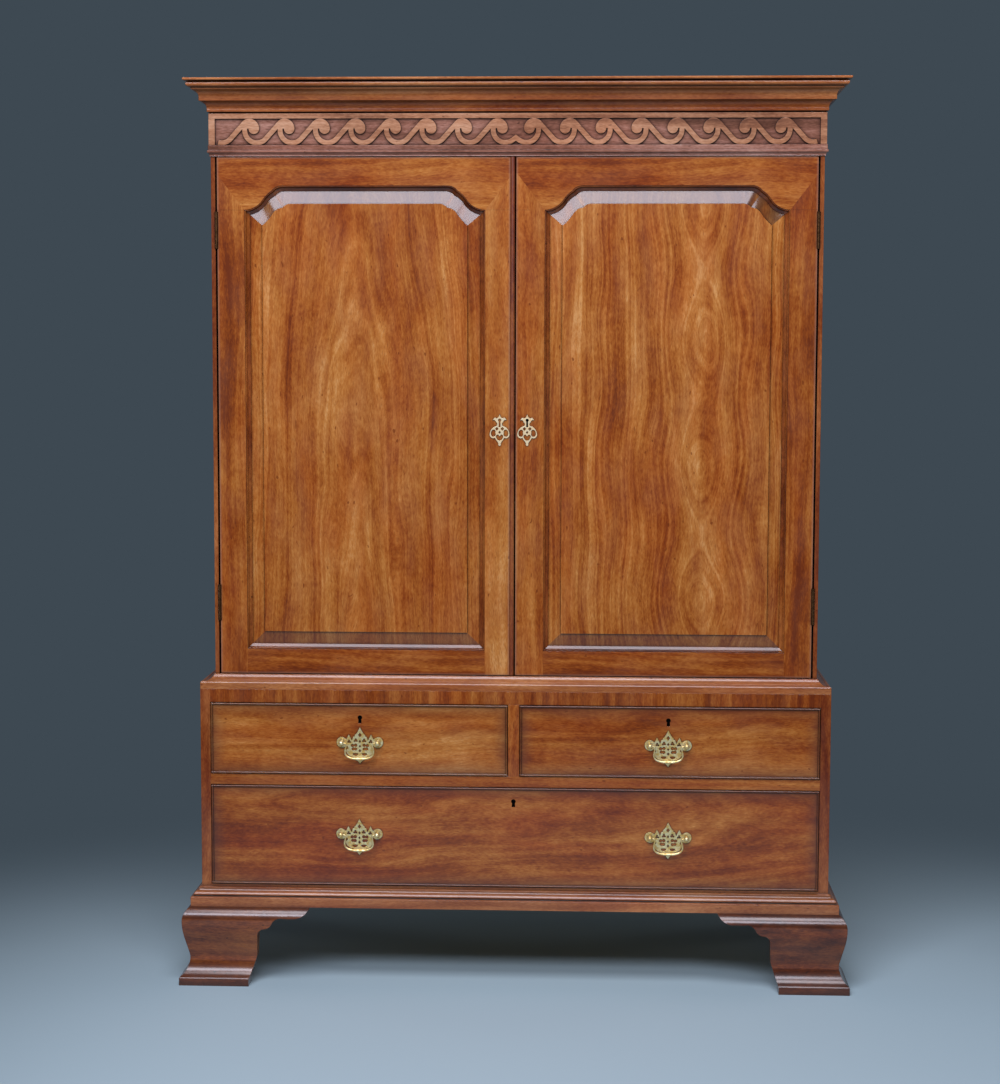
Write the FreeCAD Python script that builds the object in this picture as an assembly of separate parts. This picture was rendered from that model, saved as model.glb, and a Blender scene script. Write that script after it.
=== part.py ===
import FreeCAD
import Part
import math
import os
from FreeCAD import Vector

# Linen press in mahogany: a two-door cupboard over a chest of three drawers on ogee bracket
# feet.  Millimetres, +X right, +Y back, +Z up.  The origin is on the floor, below the middle
# of the piece's overall box, and the doors and drawers face -Y.

# ---------------------------------------------------------------- chest
CHEST_WIDTH = 1324.0
CHEST_DEPTH = 552.0
CHEST_HEIGHT = 462.0
CHEST_SIDE = 21.0
FOOT_HEIGHT = 166.0
FOOT_REACH = 43.5  # the pads stand out this far past the chest
BOARD = 20.0  # tops, bottoms and shelves
BACKING = 10.0  # back boards
TOP_RAIL = 28.0
MID_RAIL = 23.0
BOTTOM_RAIL = 44.0
RAIL_DEPTH = 60.0
DIVIDER = 24.0
SHORT_OPENING = 152.5
RUNNER_WIDTH = 42.0
DUST_BOARD = 8.0
PLINTH_HEIGHT = 40.0
PLINTH_REACH = 21.3

STOP_IN = 190.0  # from a side to a drawer stop

# ---------------------------------------------------------------- feet
FOOT_LENGTH = 276.0  # along the floor, from the pad's outer edge
PAD_LENGTH = 148.0
PAD_HEIGHT = 15.5
CORE = 38.0
CORE_CLEAR = 2.0
REAR_BRACKET = 20.0
REAR_LENGTH = 150.0

# ---------------------------------------------------------------- cupboard
STEP_IN = 28.0  # the cupboard stands in from the chest at the front and sides
PRESS_SIDE = 20.0
SIDE_LIP = 8.5  # the part of a side's edge that shows beside a door
WAIST_HEIGHT = 29.0
DOOR_HEIGHT = 1080.0
DOOR_THICK = 22.0
DOOR_GAP = 1.5  # above and below a door
HINGE_GAP = 4.0
MEETING_GAP = 2.8
CLOSING_GAP = 1.0  # behind a closed door's edge
BEAD_WIDTH = 9.8
BEAD_PROUD = 3.0
STILE = 56.5
MEETING_STILE = 61.6  # with the bead on the left door
BOTTOM_RAIL_DOOR = 52.0
TOP_RAIL_DOOR = 58.5

# ---------------------------------------------------------------- panels of the doors
OGEE_RISE = 50.0  # from the shoulders to the top of the opening
OGEE_TURN = (39.0, 21.6)  # in and up from a shoulder: the hollow turns to a round
OGEE_BREAK = (57.5, 40.0)  # in and up from a shoulder: the round breaks to the last sweep
TURN_SLOPE = math.radians(57.0)
SWEEP_SLOPE = math.radians(26.0)
SHOULDER_MOVE = (1.0, -0.86)  # how far each point of the ogee goes for a millimetre of inset
TURN_MOVE = (0.564, -0.756)
BREAK_MOVE = (0.6, -0.945)
MOULDING_WIDTH = 11.0
MOULDING_SET_BACK = 1.2
BEVEL_WIDTH = 26.0
PANEL_TONGUE = 8.0
TONGUE_THICK = 5.0
TONGUE_BACK = 7.0  # from the door's back to the tongue
FIELD_SET_BACK = 2.3
FIELD_STEP = 2.2
GROOVE_CLEAR = 0.5

# ---------------------------------------------------------------- frieze and cornice
NECK_HEIGHT = 22.5
FIELD_HEIGHT = 54.5
BORDER_TOP = 10.5
BORDER_SIDE = 13.0
FRIEZE_THICK = 24.0
FRIEZE_PROUD = 3.5
CORNICE_HEIGHT = 68.5
CORNICE_REACH = 49.0
CORNICE_WELL = 40.0  # from the cornice's top down to the press's top board
SIDE_TOP_DROP = 22.0

# running scroll
SCROLL_PITCH = 73.6  # evened out so that whole scrolls fill each half
FIRST_HEAD = 27.8  # from the middle to the nearest scroll's head
SCROLL_BAND = 10.2
HEAD_RADIUS = 11.0
CREST_RADIUS = 20.5
TROUGH_RADIUS = 20.0  # to the band's inner edge
TROUGH_LEAD = 6.2  # a trough's middle past its head
TAIL_ROOM = 7.9  # from the last scroll's end to the border
TAIL_ANGLE = 16.0
CUSP_ANGLE = 35.0
SCROLL_THICK = 3.5

# ---------------------------------------------------------------- trays
TRAY_COUNT = 4
TRAY_HEIGHT = 165.0
TRAY_FRONT = 78.0
TRAY_WALL = 12.0
TRAY_BOTTOM = 8.0
TRAY_SET_BACK = 52.0  # behind the closed doors
TRAY_CLEAR = 3.0
SCOOP_DEPTH = 26.0
SCOOP_FLOOR_HALF = 120.0
SCOOP_RUN_OUT = 130.0
BEARER = 12.0
BEARER_PITCH = 272.0
FIRST_BEARER = 40.0

# ---------------------------------------------------------------- drawers
DRAWER_FRONT = 20.0
DRAWER_SIDE = 12.0
DRAWER_BOTTOM = 8.0
DRAWER_GAP = 1.2
BOTTOM_RISE = 7.0  # underside of a drawer's bottom above its runners
SIDE_DROP = 6.0  # drawer sides below the top of the front
COCKBEAD = 3.8
COCKBEAD_PROUD = 3.0
BOTTOM_GROOVE = 5.0
TAIL_LAP = 14.0
TAIL_SLOPE = 8.0
STOP = 5.0
BACK_CLEAR = 6.0

# ---------------------------------------------------------------- brasswork
PLATE = 1.6
POST_SPACING = 76.5
SHORT_HANDLE_X = 324.0
LONG_HANDLE_X = 325.5
SHORT_HANDLE_RISE = 70.0  # handle's axis above the drawer opening's floor
LONG_HANDLE_RISE = 111.5
BALL_RADIUS = 5.6
BALL_OUT = 14.5
NECK_RADIUS = 2.6
SHANK_RADIUS = 2.4
SHANK_CLEAR = 0.2
BAIL_RADIUS = 1.8
BAIL_CLEAR = 0.4
BAIL_GRIP = 3.0
BAIL_SEAT = 1.8  # the bail's end past the ball's middle
BAIL_DROP = 33.2
NUT = 10.0
NUT_THICK = 4.0
LOCK_WIDTH = 56.0
LOCK_HEIGHT = 38.0
LOCK_DEPTH = 10.0
LOCK_BOLT = 18.0
LOCK_BOLT_THICK = 6.0
LOCK_BOLT_LENGTH = 23.0
BOLT_CLEAR = 0.4
DRAWER_BOLT_THROW = 12.0
DOOR_BOLT_THROW = 10.0
KEYHOLE_RADIUS = 4.8
KEYHOLE_DROP = 12.0
KEYHOLE_FOOT = 3.6  # half width of the keyhole's foot
SHORT_KEY_DROP = 29.0  # drawer's top edge down to the keyhole's round
DOOR_KEY_RISE = 537.0  # door's foot up to the keyhole's round
PLATE_KEY_RADIUS = 3.3
PLATE_KEY_DROP = 14.5
PLATE_KEY_FOOT = 2.0
PLATE_OFF_LEFT = 32.2
PLATE_OFF_RIGHT = 25.3
HINGE_HEIGHT = 76.0
HINGE_LEAF = 1.6
HINGE_LEAF_DEPTH = 16.0
HINGE_INSET = 150.0  # door's end to the hinge's middle
KNUCKLE = 3.1
KNUCKLE_CLEAR = 0.5
KNUCKLE_GAP = 0.15
PIN = 1.2
PIN_CLEAR = 0.25
FLUSH_BOLT_WIDTH = 7.0
FLUSH_BOLT_THICK = 6.4
FLUSH_BOLT_LENGTH = 150.0
FLUSH_BOLT_THROW = 13.0
FLUSH_PLATE = 1.5
FLUSH_PLATE_MARGIN = 5.0
FLUSH_PLATE_BEYOND = 22.0
FLUSH_GROOVE = 8.6
FLUSH_CLEAR = 0.4
FLUSH_END_ROOM = 6.0
FLUSH_IN = 22.0  # bolt's middle from the left door's meeting edge
KNOB_LENGTH = 6.0
KNOB_RADIUS = 2.4
KNOB_IN = 20.0  # from the bolt's inner end

# ---------------------------------------------------------------- places worked out
OVERALL_DEPTH = CHEST_DEPTH + FOOT_REACH
BACK = OVERALL_DEPTH / 2
CHEST_FRONT = BACK - CHEST_DEPTH
PRESS_FRONT = CHEST_FRONT + STEP_IN
CHEST_HALF = CHEST_WIDTH / 2
PRESS_HALF = CHEST_HALF - STEP_IN
CHEST_IN = CHEST_HALF - CHEST_SIDE
PRESS_IN = PRESS_HALF - PRESS_SIDE
BACKING_FRONT = BACK - BACKING

CHEST_FLOOR = FOOT_HEIGHT
CHEST_TOP = CHEST_FLOOR + CHEST_HEIGHT
LONG_FLOOR = CHEST_FLOOR + BOTTOM_RAIL
SHORT_TOP = CHEST_TOP - TOP_RAIL
SHORT_FLOOR = SHORT_TOP - SHORT_OPENING
LONG_TOP = SHORT_FLOOR - MID_RAIL

DOOR_FLOOR = CHEST_TOP + WAIST_HEIGHT + DOOR_GAP
DOOR_TOP = DOOR_FLOOR + DOOR_HEIGHT
DOOR_BACK = PRESS_FRONT + DOOR_THICK
DOOR_OUT = PRESS_HALF - SIDE_LIP - HINGE_GAP
LEFT_MEETING = -MEETING_GAP / 2
RIGHT_MEETING = MEETING_GAP / 2
HINGE_X = DOOR_OUT + HINGE_GAP / 2
HINGE_Y = PRESS_FRONT - 1.0
PRESS_FLOOR_TOP = CHEST_TOP + WAIST_HEIGHT - 1.0
NECK_FLOOR = DOOR_TOP + DOOR_GAP
FIELD_FLOOR = NECK_FLOOR + NECK_HEIGHT
FIELD_TOP = FIELD_FLOOR + FIELD_HEIGHT
CORNICE_FLOOR = FIELD_TOP + BORDER_TOP
CORNICE_TOP = CORNICE_FLOOR + CORNICE_HEIGHT
PRESS_TOP = CORNICE_TOP - CORNICE_WELL
SIDE_TOP = CORNICE_TOP - SIDE_TOP_DROP
DIAGONAL = math.sqrt(0.5)

parts = {}


# ---------------------------------------------------------------- shapes
def box(x, y, z):
    """A block between two (low, high) pairs on each axis."""
    low = Vector(min(x), min(y), min(z))
    return Part.makeBox(abs(x[1] - x[0]), abs(y[1] - y[0]), abs(z[1] - z[0]), low)


def flat(across, up):
    """Place an outline's (across, up) in the plane of the front, at y = 0."""
    return Vector(across, 0, up)


def wire(start, *steps, place=flat):
    """A closed wire: each step is a point, an (middle, end) arc, or a curve's list of points."""
    edges = []
    here = start
    for step in steps:
        if isinstance(step, list):
            curve = Part.BSplineCurve()
            curve.interpolate([place(*here)] + [place(*point) for point in step])
            edges.append(curve.toShape())
            here = step[-1]
        elif isinstance(step[0], tuple):
            edges.append(Part.Arc(place(*here), place(*step[0]), place(*step[1])).toShape())
            here = step[1]
        else:
            edges.append(Part.LineSegment(place(*here), place(*step)).toShape())
            here = step
    if math.dist(here, start) > 1e-6:
        edges.append(Part.LineSegment(place(*here), place(*start)).toShape())
    return Part.Wire(edges)


def prism(outline, sweep):
    return Part.Face(outline).extrude(sweep)


def upright(start, *steps, front=0.0, depth=1.0):
    """An outline in the plane of the front, pushed back from y = front by depth."""
    solid = prism(wire(start, *steps), Vector(0, depth, 0))
    return solid.translated(Vector(0, front, 0))


def rod(radius, start, end):
    line = end - start
    return Part.makeCylinder(radius, line.Length, start, line)


def mirror_x(shape):
    return shape.mirror(Vector(0, 0, 0), Vector(1, 0, 0))


def pair(shape):
    return [shape, mirror_x(shape)]


def one(shapes):
    """Fuse the pieces of one solid and drop the seams between them."""
    return shapes[0].fuse(shapes[1:]).removeSplitter()


def keep(name, shapes):
    """Keep a node: one solid, or the separate solids that make it up."""
    solids = shapes if isinstance(shapes, list) else [shapes]
    parts[name] = Part.makeCompound([solid for shape in solids for solid in shape.Solids])


def surround(steps, half_width, front):
    """A moulding round the front and both sides, mitred at the corners.

    steps is the section as (out from the face, height) from the foot of the face."""
    reach = 100.0
    low = 0.0
    high = CORNICE_TOP + reach
    far = half_width + reach
    near = front - reach

    def plan(*corners):
        outline = Part.makePolygon([Vector(x, y, low) for x, y in corners + corners[:1]])
        return prism(outline, Vector(0, 0, high))

    def run(place, sweep):
        return prism(wire(*steps, place=place), sweep)

    ahead = run(lambda out, up: Vector(-far, front - out, up), Vector(2 * far, 0, 0))
    side = run(lambda out, up: Vector(-half_width - out, near, up), Vector(0, BACK - near, 0))
    front_plan = plan((-half_width, front), (half_width, front), (far, near), (-far, near))
    side_plan = plan((-half_width, front), (-half_width, BACK), (-far, BACK), (-far, near))
    return [ahead.common(front_plan)] + pair(side.common(side_plan))


# ---------------------------------------------------------------- chest carcase
def rebated_side(half_width, thick, front, low, high):
    board = box((-half_width, -half_width + thick), (front, BACK), (low, high))
    rebate = box((-half_width + thick / 2, -half_width + thick), (BACKING_FRONT, BACK), (low, high))
    return board.cut(rebate)


def backing(half_width, low, high, count):
    """Upright back boards, butted side by side."""
    step = 2 * half_width / count
    edges = [-half_width + step * index for index in range(count + 1)]
    return [box(span, (BACKING_FRONT, BACK), (low, high)) for span in zip(edges, edges[1:])]


def lock_bolt_depth(back, clear):
    """Front and back of a lock's bolt, in the middle of a case that ends at y = back."""
    middle = back - LOCK_DEPTH / 2
    half = LOCK_BOLT_THICK / 2 + clear
    return (middle - half, middle + half)


def lock_slot(centre_x, floor):
    """The mortise above a drawer lock, with clearance round its bolt."""
    half = LOCK_BOLT / 2 + BOLT_CLEAR
    depth = lock_bolt_depth(CHEST_FRONT + DRAWER_FRONT, BOLT_CLEAR)
    return box((centre_x - half, centre_x + half), depth, (floor, floor + DRAWER_BOLT_THROW))


def chest_carcase():
    side = rebated_side(CHEST_HALF, CHEST_SIDE, CHEST_FRONT, CHEST_FLOOR, CHEST_TOP)
    keep("base_side_left", side)
    keep("base_side_right", mirror_x(side))

    behind = CHEST_FRONT + RAIL_DEPTH
    inside = (-CHEST_IN, CHEST_IN)
    top = box(inside, (behind, BACKING_FRONT), (CHEST_TOP - BOARD, CHEST_TOP))
    bottom = box(inside, (behind, BACKING_FRONT), (LONG_FLOOR - BOARD, LONG_FLOOR))
    keep("base_boards", [top, bottom])
    rebate_half = CHEST_HALF - CHEST_SIDE / 2
    keep("base_back_boards", backing(rebate_half, CHEST_FLOOR + BOARD, CHEST_TOP, 3))

    front = (CHEST_FRONT, behind)
    bottom_rail = box(inside, front, (CHEST_FLOOR, LONG_FLOOR))
    mid_rail = box(inside, front, (LONG_TOP, SHORT_FLOOR))
    top_rail = box(inside, front, (SHORT_TOP, CHEST_TOP))
    mid_rail = mid_rail.cut(lock_slot(0, LONG_TOP))
    for centre in (-SHORT_HANDLE_X, SHORT_HANDLE_X):
        top_rail = top_rail.cut(lock_slot(centre, SHORT_TOP))
    keep("base_rails", [bottom_rail, mid_rail, top_rail])

    half = DIVIDER / 2
    divider = box((-half, half), front, (SHORT_FLOOR, SHORT_TOP))
    guide = box((-half, half), (behind, BACKING_FRONT), (SHORT_FLOOR, SHORT_FLOOR + RUNNER_WIDTH))
    keep("drawer_divider", [divider, guide])

    run_depth = (behind, BACKING_FRONT)
    run_height = (LONG_TOP, SHORT_FLOOR)
    runner = box((-CHEST_IN, -CHEST_IN + RUNNER_WIDTH), run_depth, run_height)
    middle = box((-RUNNER_WIDTH, RUNNER_WIDTH), run_depth, run_height)
    dust_low = (LONG_TOP + SHORT_FLOOR - DUST_BOARD) / 2
    dust_span = (-CHEST_IN + RUNNER_WIDTH, -RUNNER_WIDTH)
    dust = box(dust_span, run_depth, (dust_low, dust_low + DUST_BOARD))
    kicker = box((-CHEST_IN, -CHEST_IN + RUNNER_WIDTH), run_depth, (SHORT_TOP, CHEST_TOP - BOARD))
    stop_depth = (CHEST_FRONT + DRAWER_FRONT, behind)
    stop_span = (-CHEST_IN + STOP_IN, -CHEST_IN + STOP_IN + RUNNER_WIDTH)
    stops = []
    for floor in (LONG_FLOOR, SHORT_FLOOR):
        stops += pair(box(stop_span, stop_depth, (floor, floor + STOP)))
    keep("drawer_runners", pair(runner) + [middle] + pair(dust) + pair(kicker) + stops)


def waist_section():
    """A bead-nosed strip whose top is hollowed up against the cupboard."""
    low = CHEST_TOP
    high = CHEST_TOP + WAIST_HEIGHT
    nose = 4.5
    nose_up = low + 12.0
    nose_in = STEP_IN - nose
    over = (nose_in + nose * DIAGONAL, nose_up + nose * DIAGONAL)
    crown = (nose_in - 1.5, nose_up + nose - 0.5)
    quirk = (nose_in - 2.5, nose_up + 3.0)
    hollow = (9.5, nose_up + 6.8)
    fillet = 2.5
    return [
        (0, low), (STEP_IN, low), (STEP_IN, nose_up), (over, crown), quirk,
        (hollow, (fillet, high - 1.5)), (fillet, high), (0, high),
    ]


def plinth_section():
    """A plain face below a quirk, an ovolo and a fillet."""
    low = CHEST_FLOOR
    high = CHEST_FLOOR + PLINTH_HEIGHT
    face = (PLINTH_REACH, low + 19.0)
    ovolo = ((13.6, low + 28.0), (6.0, low + 31.5))
    return [
        (0, low), (PLINTH_REACH, low), face, (PLINTH_REACH - 2.0, low + 20.6),
        (14.0, low + 20.6), (15.6, low + 23.5), ovolo,
        (5.2, low + 33.0), (5.2, low + 37.6), (0, high),
    ]


def mouldings():
    keep("waist_moulding", surround(waist_section(), PRESS_HALF, PRESS_FRONT))
    keep("plinth_moulding", surround(plinth_section(), CHEST_HALF, CHEST_FRONT))


# ---------------------------------------------------------------- feet
def foot_section():
    """The ogee: a swelling under the plinth, a waist and a flared pad."""
    top = FOOT_HEIGHT
    reach = FOOT_REACH
    waist = [(31.5, 28.0), (24.8, 42.0), (22.6, 57.0), (25.0, 70.0)]
    swell = [
        (30.2, top - 76.0), (36.0, top - 51.0), (37.7, top - 33.0), (36.6, top - 20.0),
        (31.0, top - 9.0)]
    return [
        (0, 0), (reach, 0), (reach, PAD_HEIGHT), (reach - 1.0, PAD_HEIGHT + 2.0),
        waist + swell + [(PLINTH_REACH, top)], (0, top)]


def foot_elevation():
    """One bracket seen square on, from the pad's outer edge: a cusped and scalloped edge."""
    top = FOOT_HEIGHT
    return [
        (0, 0), (PAD_LENGTH, 0), (PAD_LENGTH, PAD_HEIGHT),
        ((155.5, 36.0), (164.0, 62.0)), (166.0, top - 58.0),
        ((171.0, top - 48.0), (181.0, top - 44.0)), ((191.0, top - 40.0), (198.0, top - 30.0)),
        ((206.0, top - 23.0), (222.0, top - 21.5)), (243.0, top - 21.5),
        ((262.0, top - 16.0), (FOOT_LENGTH, top)), (0, top),
    ]


def feet():
    corner_x = -CHEST_HALF
    outer = corner_x - FOOT_REACH
    front = CHEST_FRONT
    reach = FOOT_REACH + 1.0

    def section_place(out, up):
        return Vector(outer, front - out, up)

    def elevation_place(along, up):
        return Vector(outer + along, front - reach, up)

    def plan_prism(*corners):
        outline = Part.makePolygon([Vector(x, y, 0) for x, y in corners + corners[:1]])
        return prism(outline, Vector(0, 0, FOOT_HEIGHT))

    moulded = prism(wire(*foot_section(), place=section_place), Vector(FOOT_LENGTH, 0, 0))
    sawn = prism(wire(*foot_elevation(), place=elevation_place), Vector(0, reach, 0))
    end = outer + FOOT_LENGTH
    ahead = plan_prism(
        (corner_x, front), (end, front), (end, front - reach), (corner_x - reach, front - reach))
    front_bracket = moulded.common(sawn).common(ahead)
    diagonal = Vector(1, -1, 0)
    side_bracket = front_bracket.mirror(Vector(corner_x, front, 0), diagonal)
    core_x = (corner_x, corner_x + CORE)
    core = box(core_x, (front, front + CORE), (CORE_CLEAR, FOOT_HEIGHT))
    front_foot = [front_bracket, side_bracket, core]

    middle = Vector(0, (CHEST_FRONT + BACK) / 2, 0)
    behind = box((outer - reach, corner_x), (BACK - FOOT_LENGTH, BACK), (0, FOOT_HEIGHT))
    rear_side = side_bracket.mirror(middle, Vector(0, 1, 0)).common(behind)
    back_face = BACK - REAR_BRACKET
    back_piece = upright(
        (corner_x, 0), (corner_x + CORE, 0), (corner_x + CORE + 12.0, 60.0),
        (corner_x + REAR_LENGTH, FOOT_HEIGHT), (corner_x, FOOT_HEIGHT),
        front=back_face, depth=REAR_BRACKET)
    rear_core = box(core_x, (back_face - CORE, back_face), (CORE_CLEAR, FOOT_HEIGHT))
    rear_foot = [rear_side, back_piece, rear_core]
    for name, solids in (("front", front_foot), ("rear", rear_foot)):
        keep(f"foot_{name}_left", solids)
        keep(f"foot_{name}_right", [mirror_x(solid) for solid in solids])


# ---------------------------------------------------------------- cupboard carcase
def flush_bolt_middle():
    return LEFT_MEETING - FLUSH_IN


def flush_bolt_depth(clear):
    """Front and back of a flush bolt, behind its groove's floor and its plate."""
    back = DOOR_BACK - FLUSH_PLATE - FLUSH_CLEAR
    return (back - FLUSH_BOLT_THICK - clear, back + clear)


def flush_mortise(low, high):
    """The socket for a flush bolt's end."""
    half = FLUSH_GROOVE / 2
    middle = flush_bolt_middle()
    return box((middle - half, middle + half), flush_bolt_depth(2 * FLUSH_CLEAR), (low, high))


def press_carcase():
    low = CHEST_TOP
    side = rebated_side(PRESS_HALF, PRESS_SIDE, PRESS_FRONT, low, SIDE_TOP)
    behind_door = DOOR_BACK + CLOSING_GAP
    door_rebate = box(
        (-PRESS_HALF + SIDE_LIP, -PRESS_IN), (PRESS_FRONT, behind_door), (low, NECK_FLOOR))
    frieze_notch = box(
        (-PRESS_HALF, -PRESS_IN), (PRESS_FRONT, PRESS_FRONT + FRIEZE_THICK), (NECK_FLOOR, SIDE_TOP))
    side = side.cut([door_rebate, frieze_notch])
    side = side.cut([hinge_mortise(end)[0] for end in hinge_middles()])
    keep("press_side_left", side)
    keep("press_side_right", mirror_x(side))

    inside = (-PRESS_IN, PRESS_IN)
    floor = box(inside, (PRESS_FRONT, BACKING_FRONT), (PRESS_FLOOR_TOP - BOARD, PRESS_FLOOR_TOP))
    floor = floor.cut(flush_mortise(PRESS_FLOOR_TOP - FLUSH_BOLT_THROW, PRESS_FLOOR_TOP))
    roof_front = PRESS_FRONT + FRIEZE_THICK
    roof = box(inside, (roof_front, BACKING_FRONT), (PRESS_TOP - BOARD, PRESS_TOP))
    keep("press_boards", [floor, roof])
    half = PRESS_HALF - PRESS_SIDE / 2
    keep("press_back_boards", backing(half, PRESS_FLOOR_TOP - BOARD, PRESS_TOP, 5))

    bearers = []
    for index in range(TRAY_COUNT):
        low = PRESS_FLOOR_TOP + FIRST_BEARER + BEARER_PITCH * index
        bearer = box(
            (-PRESS_IN, -PRESS_IN + BEARER), (DOOR_BACK + TRAY_SET_BACK, BACKING_FRONT),
            (low - BEARER, low))
        bearers += pair(bearer)
    keep("tray_runners", bearers)

    board_depth = (PRESS_FRONT, PRESS_FRONT + FRIEZE_THICK)
    frieze = box((-PRESS_HALF, PRESS_HALF), board_depth, (NECK_FLOOR, SIDE_TOP))
    keep("frieze_board", frieze.cut(flush_mortise(NECK_FLOOR, NECK_FLOOR + FLUSH_BOLT_THROW)))


def neck_section():
    low = NECK_FLOOR
    high = low + NECK_HEIGHT
    return [
        (0, low), (2.4, low), ((3.2, low + 5.4), (6.6, low + 7.8)), (6.6, low + 12.0),
        (5.0, low + 12.6), (5.0, high), (0, high),
    ]


def cornice_section():
    """From the foot: hollow, fillet, cove, fillet, cove, fillet, ovolo, quirk and top fillet."""
    low = CORNICE_FLOOR
    high = CORNICE_TOP
    reach = CORNICE_REACH
    return [
        (0, low), (1.0, low), ((2.6, low + 2.6), (6.4, low + 3.4)), (6.4, low + 8.0),
        ((9.0, low + 18.5), (20.5, low + 24.8)), (20.5, low + 34.0),
        ((24.5, low + 42.0), (34.0, low + 46.5)), (34.0, low + 50.5),
        (36.0, low + 52.0), ((43.6, low + 56.8), (40.0, low + 62.0)),
        (38.0, low + 62.6), (reach - 1.5, low + 63.4), (reach, low + 65.0),
        (reach, high), (0, high),
    ]


def frieze_border():
    """Raised strips round the frieze: a top strip, mitred, and an upright at each corner."""
    out = FRIEZE_PROUD
    top = surround([(0, FIELD_TOP), (out, FIELD_TOP), (out, CORNICE_FLOOR), (0, CORNICE_FLOOR)],
                   PRESS_HALF, PRESS_FRONT)
    height = (FIELD_FLOOR, FIELD_TOP)
    ahead = box(
        (-PRESS_HALF - out, -PRESS_HALF + BORDER_SIDE - out), (PRESS_FRONT - out, PRESS_FRONT), height)
    beside = box((-PRESS_HALF - out, -PRESS_HALF), (PRESS_FRONT, PRESS_FRONT + BORDER_SIDE), height)
    behind = box((-PRESS_HALF - out, -PRESS_HALF), (BACK - BORDER_SIDE, BACK), height)
    return top + pair(one([ahead, beside])) + pair(behind)


def scroll_piece(start, *steps):
    """A piece of the running scroll, raised from the frieze."""
    return upright(start, *steps, front=PRESS_FRONT - SCROLL_THICK, depth=SCROLL_THICK)


def disc(x, z, radius):
    middle = Vector(x, PRESS_FRONT - SCROLL_THICK, z)
    return Part.makeCylinder(radius, SCROLL_THICK, middle, Vector(0, 1, 0))


def around(centre, radius, angle):
    """The point at a radius and an angle in degrees from the straight-down direction."""
    turn = math.radians(angle)
    return (centre[0] + radius * math.sin(turn), centre[1] - radius * math.cos(turn))


def trough(centre, start, end):
    """A length of the band round the foot of a scroll, between two angles from straight down."""
    inner = TROUGH_RADIUS
    outer = inner + SCROLL_BAND
    middle = (start + end) / 2
    return scroll_piece(
        around(centre, outer, start),
        (around(centre, outer, middle), around(centre, outer, end)),
        around(centre, inner, end),
        (around(centre, inner, middle), around(centre, inner, start)))


def running_scroll():
    """The wave scroll: scrolls from each side, breaking towards the middle, as one fret."""
    length = PRESS_HALF + FRIEZE_PROUD - BORDER_SIDE - TAIL_ROOM - FIRST_HEAD
    count = round(length / SCROLL_PITCH)
    pitch = length / count
    crest_z = FIELD_TOP - CREST_RADIUS
    trough_z = FIELD_FLOOR + TROUGH_RADIUS + SCROLL_BAND
    crest_back = CREST_RADIUS - HEAD_RADIUS
    outer = TROUGH_RADIUS + SCROLL_BAND
    pieces = []
    rise = crest_z - trough_z
    run = pitch - crest_back - TROUGH_LEAD
    lean = math.atan2(rise, run)
    slope = lean + math.asin((TROUGH_RADIUS + CREST_RADIUS) / math.hypot(run, rise))
    climb = (math.cos(slope), math.sin(slope))
    for index in range(count):
        head = -FIRST_HEAD - pitch * index
        crest = (head - crest_back, crest_z)
        foot = (head - pitch + TROUGH_LEAD, trough_z)
        last = index == count - 1
        pieces.append(trough(foot, -TAIL_ANGLE if last else -90.0, math.degrees(slope)))
        low_in = around(foot, TROUGH_RADIUS, math.degrees(slope))
        low_out = around(foot, outer, math.degrees(slope))
        high_out = (crest[0] - CREST_RADIUS * climb[1], crest[1] + CREST_RADIUS * climb[0])
        high_in = (high_out[0] + SCROLL_BAND * climb[1], high_out[1] - SCROLL_BAND * climb[0])
        pieces.append(scroll_piece(low_in, low_out, high_in, high_out))
        cap = scroll_piece(
            (crest[0] - CREST_RADIUS, crest_z),
            ((crest[0], crest_z + CREST_RADIUS), (crest[0] + CREST_RADIUS, crest_z)))
        pieces.append(cap)
        stem_x = head + TROUGH_LEAD - outer
        pieces.append(scroll_piece(
            (stem_x, trough_z), (stem_x + SCROLL_BAND, trough_z),
            (stem_x + SCROLL_BAND, crest_z), (stem_x, crest_z)))
        pieces.append(disc(head, crest_z, HEAD_RADIUS))
    centre = (-FIRST_HEAD + TROUGH_LEAD, trough_z)
    pieces.append(trough(centre, -90.0, CUSP_ANGLE))
    cusp_in = around(centre, TROUGH_RADIUS, CUSP_ANGLE)
    cusp_out = around(centre, outer, CUSP_ANGLE)
    grade = math.tan(math.radians(CUSP_ANGLE))
    pieces.append(scroll_piece(
        cusp_out, (0, cusp_out[1] - cusp_out[0] * grade), (0, cusp_in[1] - cusp_in[0] * grade), cusp_in))
    half = one(pieces)
    return one(pair(half))


def frieze_and_cornice():
    keep("neck_moulding", surround(neck_section(), PRESS_HALF, PRESS_FRONT))
    keep("cornice_moulding", surround(cornice_section(), PRESS_HALF, PRESS_FRONT))
    keep("frieze_border", frieze_border())
    keep("frieze_scroll", running_scroll())


# ---------------------------------------------------------------- hinges
def hinge_middles():
    return (DOOR_FLOOR + HINGE_INSET, DOOR_TOP - HINGE_INSET)


def hinge_mortise(middle):
    """Clearance for the knuckle, on the carcase's lip and on the left door's edge."""
    half = HINGE_HEIGHT / 2
    span = (middle - half, middle + half)
    axis_ends = [Vector(-HINGE_X, HINGE_Y, height) for height in span]
    knuckle = rod(KNUCKLE + KNUCKLE_CLEAR, *axis_ends)
    depth = (PRESS_FRONT, HINGE_Y + HINGE_LEAF_DEPTH)
    lip_x = -PRESS_HALF + SIDE_LIP
    lip = box((lip_x - HINGE_LEAF, lip_x), depth, span)
    edge = box((-DOOR_OUT, -DOOR_OUT + HINGE_LEAF), depth, span)
    return knuckle.fuse(lip), knuckle.fuse(edge)


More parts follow.
